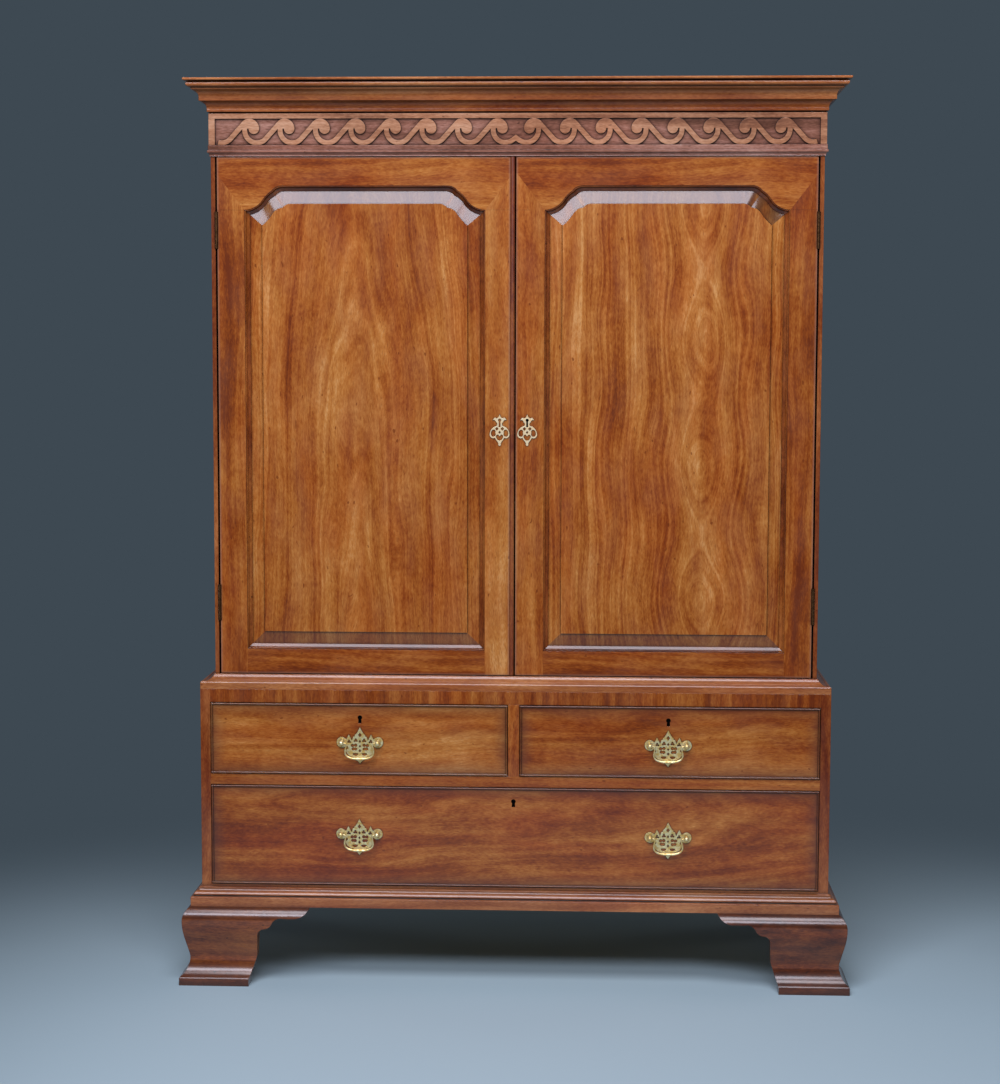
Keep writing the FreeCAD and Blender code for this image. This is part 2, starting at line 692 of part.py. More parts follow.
def hinge_half(middle, on_door):
    """One leaf of a butt hinge with its knuckles; the carcase's half carries the pin."""
    count = 5
    low = middle - HINGE_HEIGHT / 2
    step = HINGE_HEIGHT / count
    lip_x = -PRESS_HALF + SIDE_LIP
    depth = (PRESS_FRONT, HINGE_Y + HINGE_LEAF_DEPTH)
    if on_door:
        leaf = box((-DOOR_OUT, -DOOR_OUT + HINGE_LEAF), depth, (low, low + HINGE_HEIGHT))
    else:
        leaf = box((lip_x - HINGE_LEAF, lip_x), depth, (low, low + HINGE_HEIGHT))
    other_room = []
    solids = [leaf]

    def on_axis(radius, start, end):
        return rod(radius, Vector(-HINGE_X, HINGE_Y, start), Vector(-HINGE_X, HINGE_Y, end))

    for index in range(count):
        start = low + step * index
        if (index % 2 == 1) == on_door:
            solids.append(on_axis(KNUCKLE, start + KNUCKLE_GAP, start + step - KNUCKLE_GAP))
        else:
            other_room.append(on_axis(KNUCKLE + KNUCKLE_GAP, start, start + step))
    if on_door:
        other_room.append(on_axis(PIN + PIN_CLEAR, low, low + HINGE_HEIGHT))
        return one(solids).cut(other_room)
    return one([one(solids).cut(other_room), on_axis(PIN, low, low + HINGE_HEIGHT)])


def case_hinges():
    leaves = [hinge_half(middle, False) for middle in hinge_middles()]
    keep("hinge_leaves_case", [leaf for shape in leaves for leaf in pair(shape)])


# ---------------------------------------------------------------- doors
def arc_middle(start, end, leaving):
    """The middle of the arc that leaves its end at an angle in radians above the level."""
    run = end[0] - start[0]
    rise = end[1] - start[1]
    chord = math.atan2(rise, run)
    sag = math.hypot(run, rise) / 2 * math.tan((leaving - chord) / 2)
    across = (start[0] + end[0]) / 2 + sag * math.sin(chord)
    return (across, (start[1] + end[1]) / 2 - sag * math.cos(chord))


def panel_outline(span, height, inset, y):
    """The door opening, with its ogee top corners, moved in by inset (out if negative)."""
    low = height[0] + inset
    top = height[1] - inset
    shoulder = height[1] - OGEE_RISE

    def moved(point, move):
        return (span[0] + point[0] + move[0] * inset, shoulder + point[1] + move[1] * inset)

    foot = moved((0, 0), SHOULDER_MOVE)
    turn = moved(OGEE_TURN, TURN_MOVE)
    corner = moved(OGEE_BREAK, BREAK_MOVE)
    end = (corner[0] + (top - corner[1]) / math.tan(SWEEP_SLOPE), top)
    hollow = arc_middle(foot, turn, TURN_SLOPE)
    round_middle = arc_middle(corner, turn, TURN_SLOPE + math.pi)
    sweep = arc_middle(corner, end, 0)
    left = [foot, (hollow, turn), (round_middle, corner), (sweep, end)]

    def mirrored(point):
        return (span[0] + span[1] - point[0], point[1])

    right = [
        mirrored(end), (mirrored(sweep), mirrored(corner)), (mirrored(round_middle), mirrored(turn)),
        (mirrored(hollow), mirrored(foot)), (span[1] - inset, low),
    ]
    return wire((span[0] + inset, low), *left, *right, place=lambda x, z: Vector(x, y, z))


def outline_prism(span, height, inset, front, back):
    return prism(panel_outline(span, height, inset, front), Vector(0, back - front, 0))


def outline_loft(span, height, first, second):
    """A solid between two insets of the opening, each given as (inset, y)."""
    outlines = [panel_outline(span, height, *step) for step in (first, second)]
    return Part.makeLoft(outlines, True, True)


def door_frame(span, opening, height):
    """Top rail across the stiles, bottom rail between them, grooved for the panel."""
    whole = box(span, (PRESS_FRONT, DOOR_BACK), (DOOR_FLOOR, DOOR_TOP))
    tongue_back = DOOR_BACK - TONGUE_BACK
    groove_front = tongue_back - TONGUE_THICK - GROOVE_CLEAR / 2
    groove = outline_prism(
        opening, height, -PANEL_TONGUE - GROOVE_CLEAR, groove_front, tongue_back + GROOVE_CLEAR / 2)
    whole = whole.cut([outline_prism(opening, height, 0, PRESS_FRONT, DOOR_BACK), groove])
    shoulder = height[1] - OGEE_RISE
    depth = (PRESS_FRONT, DOOR_BACK)
    places = [
        box(span, depth, (shoulder, DOOR_TOP)),
        box((span[0], opening[0]), depth, (DOOR_FLOOR, shoulder)),
        box((opening[1], span[1]), depth, (DOOR_FLOOR, shoulder)),
        box(opening, depth, (DOOR_FLOOR, shoulder)),
    ]
    return [whole.common(place) for place in places]


def door_panel(opening, height):
    """A fielded panel: tongue, bevelled border and raised field with a small step."""
    tongue_back = DOOR_BACK - TONGUE_BACK
    tongue_front = tongue_back - TONGUE_THICK
    field = PRESS_FRONT + FIELD_SET_BACK
    inner = MOULDING_WIDTH + BEVEL_WIDTH
    tongue = outline_prism(opening, height, -PANEL_TONGUE, tongue_front, tongue_back)
    bevel = outline_loft(opening, height, (MOULDING_WIDTH, tongue_front), (inner, field + FIELD_STEP))
    raised = outline_prism(opening, height, inner, field, field + FIELD_STEP)
    return one([tongue, bevel, raised])


def door_moulding(opening, height):
    """The moulding planted round the opening, with a fillet and a hollow."""
    front = PRESS_FRONT + MOULDING_SET_BACK
    back = DOOR_BACK - TONGUE_BACK - TONGUE_THICK
    middle = front + 4.6
    ring = outline_prism(opening, height, 0, front, back)
    upper = outline_loft(opening, height, (2.4, front), (4.4, middle))
    lower = outline_loft(opening, height, (4.4, middle), (MOULDING_WIDTH, back))
    return ring.cut([upper, lower])


def keyhole(x, z, front, depth, radius, drop, foot):
    """A round hole over a tapering slot."""
    hole = Part.makeCylinder(radius, depth, Vector(x, front, z), Vector(0, 1, 0))
    slot = upright(
        (x - foot, z - drop), (x + foot, z - drop), (x + foot * 0.8, z), (x - foot * 0.8, z),
        front=front, depth=depth)
    return one([hole, slot])


def halves(start, *steps, front, thick):
    """A flat plate whose right half is given from its top to its foot."""
    half = upright(start, *steps, front=front, depth=thick)
    return one([half, mirror_x(half)])


def pierce(x, z, radius, front, thick):
    return Part.makeCylinder(radius, thick, Vector(x, front, z), Vector(0, 1, 0))


def diamond(x, z, half_width, half_height, front, thick):
    return upright(
        (x, z + half_height), (x + half_width, z), (x, z - half_height), (x - half_width, z),
        front=front, depth=thick)


def escutcheon():
    """A three-leafed crown on a neck over an interlaced bulb, centred on the keyhole's round."""
    thick = PLATE
    front = PRESS_FRONT - thick
    body = halves(
        (0, 12.5), (1.3, 8.6), (2.6, 6.2), (4.8, 4.6), (7.0, 3.6), ((9.6, 5.2), (12.2, 3.2)), (14.7, 0.2),
        (10.8, 0.8), (8.2, -1.6), (7.4, -4.2), (5.6, -5.0), (4.8, -8.2), (5.6, -11.6),
        ((14.0, -15.6), (20.2, -27.0)), ((18.8, -35.0), (13.2, -37.8)), (9.6, -36.8),
        (7.0, -41.6), (3.8, -45.6), (2.2, -49.2), ((2.3, -52.0), (0, -53.4)), front=front, thick=thick)
    cuts = [keyhole(0, 0, front, thick, PLATE_KEY_RADIUS, PLATE_KEY_DROP, PLATE_KEY_FOOT)]
    cuts.append(diamond(0, -25.2, 2.7, 3.2, front, thick))
    for side in (-1, 1):
        cuts.append(diamond(side * 5.7, -17.9, 3.8, 4.0, front, thick))
        petal = upright(
            (side * 9.0, -26.2), ((side * 10.9, -19.9), (side * 14.4, -19.9)),
            ((side * 18.1, -25.8), (side * 15.9, -33.6)), ((side * 11.2, -33.8), (side * 9.0, -26.2)),
            front=front, depth=thick)
        cuts.append(petal)
    heart = halves(
        (0, -33.6), (3.4, -29.6), ((7.4, -32.8), (6.0, -37.6)), ((3.6, -41.2), (0, -42.4)),
        front=front, thick=thick)
    return body.cut(cuts + [heart])


def flush_bolt(end, inward):
    """A bolt at one end of the left door: its cuts in the stile, its plate, and the bolt."""
    middle = flush_bolt_middle()
    groove_half = FLUSH_GROOVE / 2
    plate_half = groove_half + FLUSH_PLATE_MARGIN
    plate_depth = (DOOR_BACK - FLUSH_PLATE, DOOR_BACK)
    front, back = flush_bolt_depth(0)
    groove_end = end + inward * (FLUSH_BOLT_LENGTH + FLUSH_END_ROOM)
    groove = box(
        (middle - groove_half, middle + groove_half), (front - FLUSH_CLEAR, DOOR_BACK), (end, groove_end))
    plate_end = end + inward * (FLUSH_BOLT_LENGTH + FLUSH_PLATE_BEYOND)
    seat = box((middle - plate_half, middle + plate_half), plate_depth, (end, plate_end))

    knob_z = end + inward * (FLUSH_BOLT_LENGTH - KNOB_IN)
    slot_half = KNOB_RADIUS + FLUSH_CLEAR
    slot_ends = (knob_z + inward * slot_half, knob_z - inward * (FLUSH_BOLT_THROW + slot_half))
    slot = box((middle - slot_half, middle + slot_half), plate_depth, slot_ends)
    bolt_half = FLUSH_BOLT_WIDTH / 2
    bolt = box(
        (middle - bolt_half, middle + bolt_half), (front, back), (end, end + inward * FLUSH_BOLT_LENGTH))
    knob_root = Vector(middle, (front + back) / 2, knob_z)
    knob = rod(KNOB_RADIUS, knob_root, Vector(middle, DOOR_BACK + KNOB_LENGTH, knob_z))
    return [groove, seat], seat.cut(slot), one([bolt, knob])


def door_left():
    span = (-DOOR_OUT, LEFT_MEETING - BEAD_WIDTH)
    opening = (-DOOR_OUT + STILE, LEFT_MEETING - MEETING_STILE)
    height = (DOOR_FLOOR + BOTTOM_RAIL_DOOR, DOOR_TOP - TOP_RAIL_DOOR)
    top_cuts, top_plate, top_bolt = flush_bolt(DOOR_TOP, -1)
    foot_cuts, foot_plate, foot_bolt = flush_bolt(DOOR_FLOOR, 1)
    cuts = top_cuts + foot_cuts + [hinge_mortise(centre)[1] for centre in hinge_middles()]
    keep("door_left_frame", [piece.cut(cuts) for piece in door_frame(span, opening, height)])
    keep("door_left_panel", door_panel(opening, height))
    keep("door_left_moulding", door_moulding(opening, height))
    plate_move = Vector(-PLATE_OFF_LEFT, 0, DOOR_FLOOR + DOOR_KEY_RISE)
    keep("door_left_escutcheon", escutcheon().translated(plate_move))
    hinges = [hinge_half(centre, True) for centre in hinge_middles()]
    keep("door_left_brasswork", hinges + [top_plate, foot_plate])
    keep("flush_bolt_top", top_bolt)
    keep("flush_bolt_bottom", foot_bolt)
    keep("meeting_bead", meeting_bead())


def meeting_bead():
    """The bead planted on the left door's meeting edge, round in front and at its foot."""
    width = BEAD_WIDTH
    edge = LEFT_MEETING
    front = PRESS_FRONT
    foot = DOOR_FLOOR

    def plan(x, y):
        return Vector(x, y, foot)

    outline = wire(
        (edge - width, DOOR_BACK), (edge, DOOR_BACK), (edge, front),
        ((edge - width / 2, front - BEAD_PROUD), (edge - width, front)), place=plan)
    bead = prism(outline, Vector(0, 0, DOOR_HEIGHT))
    return bead.cut(door_bolt_socket())


def door_bolt_socket():
    """The mortise that takes the right door's lock bolt, through the bead into the stile."""
    half = LOCK_BOLT / 2 + BOLT_CLEAR
    middle = DOOR_FLOOR + DOOR_KEY_RISE - KEYHOLE_DROP / 2
    depth = lock_bolt_depth(DOOR_BACK, BOLT_CLEAR)
    reach = DOOR_BOLT_THROW - MEETING_GAP + BOLT_CLEAR
    return box((LEFT_MEETING - reach, LEFT_MEETING), depth, (middle - half, middle + half))


def door_right():
    span = (RIGHT_MEETING, DOOR_OUT)
    opening = (LEFT_MEETING + MEETING_STILE, DOOR_OUT - STILE)
    height = (DOOR_FLOOR + BOTTOM_RAIL_DOOR, DOOR_TOP - TOP_RAIL_DOOR)
    key_z = DOOR_FLOOR + DOOR_KEY_RISE
    middle = key_z - KEYHOLE_DROP / 2
    case_height = (middle - LOCK_WIDTH / 2, middle + LOCK_WIDTH / 2)
    case_span = (RIGHT_MEETING, RIGHT_MEETING + LOCK_HEIGHT)
    case = box(case_span, (DOOR_BACK - LOCK_DEPTH, DOOR_BACK), case_height)
    bolt_half = LOCK_BOLT / 2
    room_half = bolt_half + BOLT_CLEAR / 2
    room = box(
        (RIGHT_MEETING, RIGHT_MEETING + LOCK_BOLT_LENGTH + BOLT_CLEAR),
        lock_bolt_depth(DOOR_BACK, BOLT_CLEAR / 2), (middle - room_half, middle + room_half))
    bolt = box(
        (RIGHT_MEETING, RIGHT_MEETING + LOCK_BOLT_LENGTH), lock_bolt_depth(DOOR_BACK, 0),
        (middle - bolt_half, middle + bolt_half))
    hole = keyhole(
        PLATE_OFF_RIGHT, key_z, PRESS_FRONT, DOOR_THICK - LOCK_DEPTH,
        PLATE_KEY_RADIUS, PLATE_KEY_DROP, PLATE_KEY_FOOT)
    hinge_cuts = [mirror_x(hinge_mortise(centre)[1]) for centre in hinge_middles()]
    frame = [piece.cut([case, hole] + hinge_cuts) for piece in door_frame(span, opening, height)]
    keep("door_right_frame", frame)
    keep("door_right_panel", door_panel(opening, height))
    keep("door_right_moulding", door_moulding(opening, height))
    plate_move = Vector(PLATE_OFF_RIGHT, 0, key_z)
    keep("door_right_escutcheon", escutcheon().translated(plate_move))
    hinges = [mirror_x(hinge_half(centre, True)) for centre in hinge_middles()]
    keep("door_right_brasswork", hinges + [case.cut(room)])
    keep("door_lock_bolt", bolt)


# ---------------------------------------------------------------- trays
def dovetails(outer_x, inner_x, joint_y, length, z_span, count):
    """Tails that carry a side past joint_y into the piece across its end."""
    pitch = (z_span[1] - z_span[0]) / count
    root = pitch * 0.28
    flare = root + abs(length) * math.tan(math.radians(TAIL_SLOPE))
    tails = []
    for index in range(count):
        middle = z_span[0] + pitch * (index + 0.5)
        corners = [
            (joint_y, middle - root), (joint_y + length, middle - flare),
            (joint_y + length, middle + flare), (joint_y, middle + root),
        ]
        outline = wire(*corners, place=lambda y, z: Vector(outer_x, y, z))
        tails.append(prism(outline, Vector(inner_x - outer_x, 0, 0)))
    return tails


def tray(low):
    """A sliding tray: dovetailed sides, a low front scooped in the middle, a back and a bottom."""
    front = DOOR_BACK + TRAY_SET_BACK
    back = BACKING_FRONT - BACK_CLEAR
    outer = PRESS_IN - TRAY_CLEAR
    inner = outer - TRAY_WALL
    floor_top = low + TRAY_BOTTOM
    front_top = low + TRAY_FRONT
    top = low + TRAY_HEIGHT
    side_depth = (front + TRAY_WALL, back - TRAY_WALL)

    side = box((-outer, -inner), side_depth, (floor_top, top))
    side = side.cut(box((-outer, -inner), (side_depth[0], front + TRAY_FRONT), (front_top, top)))
    front_tails = dovetails(-outer, -inner, side_depth[0], -TRAY_WALL, (floor_top, front_top), 2)
    back_tails = dovetails(-outer, -inner, side_depth[1], TRAY_WALL, (floor_top, top), 4)
    sides = pair(one([side] + front_tails + back_tails))

    scoop = front_top - SCOOP_DEPTH
    scoop_half = SCOOP_FLOOR_HALF + SCOOP_RUN_OUT
    scoop_bend = (SCOOP_FLOOR_HALF + scoop_half) / 2
    bend_height = scoop + SCOOP_DEPTH / 8
    front_board = upright(
        (-outer, floor_top), (outer, floor_top), (outer, front_top), (scoop_half, front_top),
        ((scoop_bend, bend_height), (SCOOP_FLOOR_HALF, scoop)), (-SCOOP_FLOOR_HALF, scoop),
        ((-scoop_bend, bend_height), (-scoop_half, front_top)), (-outer, front_top),
        front=front, depth=TRAY_WALL)
    back_board = box((-outer, outer), (back - TRAY_WALL, back), (floor_top, top))
    bottom = box((-outer, outer), (front, back), (low, floor_top))
    return sides + [front_board.cut(sides), back_board.cut(sides), bottom]


def trays():
    for index in range(TRAY_COUNT):
        keep(f"tray_{index + 1}", tray(PRESS_FLOOR_TOP + FIRST_BEARER + BEARER_PITCH * index))


# ---------------------------------------------------------------- drawer brasswork
def handle_plate(x, z):
    """A pierced plate: stepped point between two spikes, round lobes under the posts, scroll foot."""
    post = POST_SPACING / 2
    front = CHEST_FRONT - PLATE
    body = halves(
        (0, 32.0), (4.4, 23.0), (8.8, 16.6), (10.6, 16.0), (11.4, 12.0), (14.4, 11.6), (15.4, 7.4),
        (17.0, 3.4), (19.4, 8.6), (23.6, 16.4), (26.6, 9.8), (28.8, 6.0),
        ((32.4, 8.8), (post, 11.2)), ((post + 10.8, 0), (post, -11.2)), ((33.0, -10.6), (28.6, -6.6)),
        (25.4, -9.6), (25.0, -13.6), ((28.8, -16.6), (28.4, -21.0)), ((23.4, -27.6), (13.6, -31.6)),
        (10.4, -34.2), (9.0, -37.6), (4.4, -39.6), (0, -45.4), front=front, thick=PLATE)
    diamonds = ((15.6, 3.9, 4.8), (2.0, 2.7, 3.4), (-8.6, 2.6, 2.9), (-18.0, 2.9, 3.6))
    holes = [diamond(0, rise, across, up, front, PLATE) for rise, across, up in diamonds]
    upper_trefoil = ((6.8, 2.6), (11.0, 2.4), (8.8, 6.0))
    outer_trefoil = ((20.6, 0.2), (24.6, 0.4), (23.0, 3.6))
    quatrefoil = ((9.0, -6.4), (15.6, -7.0), (9.4, -14.6), (14.2, -14.2))
    for side in (-1, 1):
        for radius, centres in ((2.2, upper_trefoil), (2.0, outer_trefoil), (3.5, quatrefoil)):
            foils = [pierce(side * across, rise, radius, front, PLATE) for across, rise in centres]
            holes.append(one(foils))
        holes.append(upright(
            (side * 3.4, -24.0), ((side * 9.0, -23.0), (side * 15.4, -24.0)),
            ((side * 9.4, -29.0), (side * 3.4, -24.0)), front=front, depth=PLATE))
    return body.cut(holes).translated(Vector(x, 0, z))


def handle_post(x, z):
    """Collar, neck and ball, a shank through the drawer front and a nut behind it."""
    face = CHEST_FRONT - PLATE
    ball = Vector(x, CHEST_FRONT - BALL_OUT, z)
    inside = CHEST_FRONT + DRAWER_FRONT
    collar = rod(NECK_RADIUS + 2.0, Vector(x, face - 2.0, z), Vector(x, face, z))
    neck = rod(NECK_RADIUS, ball, Vector(x, face, z))
    shank = rod(SHANK_RADIUS, Vector(x, face, z), Vector(x, inside + NUT_THICK, z))
    nut = box((x - NUT / 2, x + NUT / 2), (inside, inside + NUT_THICK), (z - NUT / 2, z + NUT / 2))
    return one([Part.makeSphere(BALL_RADIUS, ball), collar, neck, shank, nut])


def handle(x, z):
    """A plate and its two posts, bored on their inner sides for the bail's ends."""
    post = POST_SPACING / 2
    face = CHEST_FRONT - PLATE
    posts = []
    for side in (-1, 1):
        shape = handle_post(x + side * post, z)
        bore_end = Vector(x + side * (post + BAIL_SEAT + BAIL_CLEAR), CHEST_FRONT - BALL_OUT, z)
        mouth = Vector(x + side * (post - 2 * BALL_RADIUS), CHEST_FRONT - BALL_OUT, z)
        posts.append(shape.cut(rod(BAIL_RADIUS + BAIL_CLEAR, bore_end, mouth)))
    shanks = [rod(SHANK_RADIUS, Vector(x + side * post, face, z), Vector(x + side * post, CHEST_FRONT, z))
              for side in (-1, 1)]
    return [handle_plate(x, z).cut(shanks)] + posts


def bail(x, z):
    """The swan-necked bail hung from the posts, a rod that swells towards the middle of its foot."""
    end = POST_SPACING / 2 + BAIL_SEAT
    foot = -BAIL_DROP
    rod_part = [
        (end, 0), (end - 5.8, 0), (end - 8.6, 0), (end - 11.4, -1.6), (end - 12.2, -5.0),
        (end - 11.1, -10.5), (end - 10.0, -16.5), (end - 10.6, foot + 10.7)]
    swelling = [(end - 14.2, foot + 5.6), (19.0, foot + 2.0), (10.0, foot + 0.3)]
    half = [(across, up, BAIL_RADIUS) for across, up in rod_part]
    for step, (across, up) in enumerate(swelling, 1):
        grown = BAIL_RADIUS + (BAIL_GRIP - BAIL_RADIUS) * (step / (len(swelling) + 1)) ** 1.5
        half.append((across, up, grown))
    route = half + [(0, foot, BAIL_GRIP)] + [(-across, up, radius) for across, up, radius in half[::-1]]

    points = [Vector(x + across, CHEST_FRONT - BALL_OUT, z + up) for across, up, _ in route]
    inward = Vector(-1, 0, 0)
    line = Part.BSplineCurve()
    line.interpolate(Points=points, InitialTangent=inward, FinalTangent=inward)
    across_line = Vector(0, 1, 0)
    rings = []
    for point, (_, _, radius) in zip(points, route):
        along = line.tangent(line.parameter(point))[0]
        turn = FreeCAD.Rotation(across_line, along.cross(across_line), along, "ZXY")
        ring = Part.makeCircle(radius)
        ring.Placement = FreeCAD.Placement(point, turn)
        rings.append(Part.Wire(ring))
    return Part.makeLoft(rings, True, True)


# ---------------------------------------------------------------- drawers
def cockbead(span, height):
    """Beads let in round a drawer front, half-round where they stand proud."""
    back = CHEST_FRONT + DRAWER_FRONT
    face = CHEST_FRONT - COCKBEAD_PROUD + COCKBEAD / 2
    tip = CHEST_FRONT - COCKBEAD_PROUD

    def section(low, place, sweep):
        high = low + COCKBEAD
        outline = wire(
            (back, low), (back, high), (face, high), ((tip, (low + high) / 2), (face, low)), place=place)
        return prism(outline, sweep)

    across = Vector(span[1] - span[0], 0, 0)
    up = Vector(0, 0, height[1] - height[0] - 2 * COCKBEAD)
    floor = height[0] + COCKBEAD
    return [
        section(height[1] - COCKBEAD, lambda y, z: Vector(span[0], y, z), across),
        section(height[0], lambda y, z: Vector(span[0], y, z), across),
        section(span[0], lambda y, x: Vector(x, y, floor), up),
        section(span[1] - COCKBEAD, lambda y, x: Vector(x, y, floor), up),
    ]


def drawer_box(name, span, height, floor):
    """Dovetailed sides, a back, and a bottom let into them; the front is cut to fit."""
    inside = CHEST_FRONT + DRAWER_FRONT
    back = BACKING_FRONT - BACK_CLEAR
    side_top = height[1] - SIDE_DROP
    bottom_span = (floor + BOTTOM_RISE, floor + BOTTOM_RISE + DRAWER_BOTTOM)
    reach = DRAWER_SIDE - BOTTOM_GROOVE
    bottom = box((span[0] + reach, span[1] - reach), (inside - BOTTOM_GROOVE, back), bottom_span)
    tail_height = (height[0] + COCKBEAD, side_top)
    sides = []
    for edge, inward in ((span[0], 1), (span[1], -1)):
        inner = edge + inward * DRAWER_SIDE
        side = box((edge, inner), (inside, back), (floor, side_top))
        tails = dovetails(edge + inward * COCKBEAD, inner, inside, -TAIL_LAP, tail_height, 4)
        sides.append(one([side] + tails))
    back_board = box(
        (span[0] + DRAWER_SIDE, span[1] - DRAWER_SIDE), (back - DRAWER_SIDE, back),
        (bottom_span[1], side_top - SIDE_DROP))
    keep(f"{name}_box", [side.cut(bottom) for side in sides] + [back_board, bottom])
    return sides + [bottom]


def drawer_lock(lock_x, height):
    """A lock's case and bolt, and the slot in the case and the bead for the bolt."""
    inside = CHEST_FRONT + DRAWER_FRONT
    top = height[1] - COCKBEAD
    case_span = (lock_x - LOCK_WIDTH / 2, lock_x + LOCK_WIDTH / 2)
    case = box(case_span, (inside - LOCK_DEPTH, inside), (top - LOCK_HEIGHT, top))
    half = LOCK_BOLT / 2
    room_half = half + BOLT_CLEAR / 2
    bolt = box((lock_x - half, lock_x + half), lock_bolt_depth(inside, 0), (top - LOCK_BOLT_LENGTH, top))
    room = box(
        (lock_x - room_half, lock_x + room_half), lock_bolt_depth(inside, BOLT_CLEAR / 2),
        (top - LOCK_BOLT_LENGTH - BOLT_CLEAR, height[1]))
    return case, bolt, room


def drawer(name, opening, heights, lock_x, handles):
    """A cockbeaded front, a dovetailed oak box, its lock and its handles."""
    floor, ceiling = heights
    span = (opening[0] + DRAWER_GAP, opening[1] - DRAWER_GAP)
    height = (floor + DRAWER_GAP, ceiling - DRAWER_GAP)
    case, bolt, room = drawer_lock(lock_x, height)
    hole = keyhole(
        lock_x, height[1] - SHORT_KEY_DROP, CHEST_FRONT, DRAWER_FRONT - LOCK_DEPTH,
        KEYHOLE_RADIUS, KEYHOLE_DROP, KEYHOLE_FOOT)
    cuts = [case, hole] + drawer_box(name, span, height, floor)
    brasses = [case.cut(room)]
    for suffix, handle_x, rise in handles:
        for side in (-1, 1):
            start = Vector(handle_x + side * POST_SPACING / 2, CHEST_FRONT, floor + rise)
            cuts.append(rod(SHANK_RADIUS + SHANK_CLEAR, start, start + Vector(0, DRAWER_FRONT, 0)))
        brasses += handle(handle_x, floor + rise)
        keep(f"{name}_bail{suffix}", bail(handle_x, floor + rise))
    front = box(
        (span[0] + COCKBEAD, span[1] - COCKBEAD), (CHEST_FRONT, CHEST_FRONT + DRAWER_FRONT),
        (height[0] + COCKBEAD, height[1] - COCKBEAD))
    beads = [bead.cut(room) for bead in cockbead(span, height)]
    keep(f"{name}_front", [front.cut(cuts)] + beads)
    keep(f"{name}_brasswork", brasses)
    keep(f"{name}_lock_bolt", bolt)


def drawers():
    half = DIVIDER / 2
    for name, opening, x in (
            ("drawer_left", (-CHEST_IN, -half), -SHORT_HANDLE_X),
            ("drawer_right", (half, CHEST_IN), SHORT_HANDLE_X)):
        drawer(name, opening, (SHORT_FLOOR, SHORT_TOP), x, [("", x, SHORT_HANDLE_RISE)])
    drawer("drawer_long", (-CHEST_IN, CHEST_IN), (LONG_FLOOR, LONG_TOP), 0.0, [
        ("_left", -LONG_HANDLE_X, LONG_HANDLE_RISE), ("_right", LONG_HANDLE_X, LONG_HANDLE_RISE)])


# ---------------------------------------------------------------- build
chest_carcase()
mouldings()
feet()
press_carcase()
frieze_and_cornice()
case_hinges()
door_left()
door_right()
trays()
drawers()

os.makedirs("parts", exist_ok=True)
for node, shape in parts.items():
    shape.exportStep(f"parts/{node}.step")
print(len(parts), "nodes")
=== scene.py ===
"""A mahogany linen press: the finishes of its boards and brasses, its bails, a studio and a camera."""

import logging
import math
from dataclasses import dataclass
from enum import Enum

import bpy
from mathutils import Matrix, Vector


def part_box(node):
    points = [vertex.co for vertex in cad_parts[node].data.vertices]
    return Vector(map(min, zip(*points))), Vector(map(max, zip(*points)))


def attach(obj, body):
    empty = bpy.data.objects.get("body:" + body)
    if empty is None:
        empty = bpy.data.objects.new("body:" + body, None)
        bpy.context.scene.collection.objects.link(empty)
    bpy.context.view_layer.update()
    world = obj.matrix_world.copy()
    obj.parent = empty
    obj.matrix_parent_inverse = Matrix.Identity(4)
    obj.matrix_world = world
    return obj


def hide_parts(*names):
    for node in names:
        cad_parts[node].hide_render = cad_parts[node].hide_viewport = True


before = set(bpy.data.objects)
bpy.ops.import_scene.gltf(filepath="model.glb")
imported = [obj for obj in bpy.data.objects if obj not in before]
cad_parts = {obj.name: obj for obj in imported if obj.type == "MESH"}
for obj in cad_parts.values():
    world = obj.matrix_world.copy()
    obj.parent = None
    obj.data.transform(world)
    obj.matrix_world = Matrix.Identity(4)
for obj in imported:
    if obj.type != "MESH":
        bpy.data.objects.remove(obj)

LOG = logging.getLogger("linen_press")
Link = bpy.types.NodeSocket
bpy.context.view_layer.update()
MM = 0.001
FAR = 9000.0  # mm, beyond every board
TRACK_CAMERA = ("-Z", "Y")
CHEST_CORNER = (662.0, -254.25)  # x and y in mm of the chest's right front corner
CUPBOARD_CORNER = (634.0, -226.25)
DRAWER_LOCK_FACE = -244.25  # y in mm of the lock's face behind a drawer's keyhole, painted black as the keyhole's shadow
DOOR_LOCK_FACE = -214.25
# a Mix node's sockets for colours: the share, the colour under, the colour over, and the result
SHARE, UNDER, OVER, MIXED = 0, 6, 7, 2
COLOURS = {"data_type": "RGBA"}
TINTS = {"data_type": "RGBA", "blend_type": "MULTIPLY"}
MEAN = 0.5  # a noise's middle level
STRAY = 4.0  # turns a noise's usual stray, of a quarter, to 1
BEVEL_SAMPLES = 4


def linear(code: str) -> tuple[float, float, float, float]:
    """Turn an sRGB hex colour to the linear values that Blender's sockets take.

    Args:
        code: the colour, such as "#9a5c30".

    Returns:
        Red, green, blue and an alpha of 1.
    """
    parts = [int(code[place:place + 2], 16) / 255 for place in (1, 3, 5)]
    lit = [part / 12.92 if part <= 0.04045 else ((part + 0.055) / 1.055) ** 2.4 for part in parts]
    return (lit[0], lit[1], lit[2], 1.0)


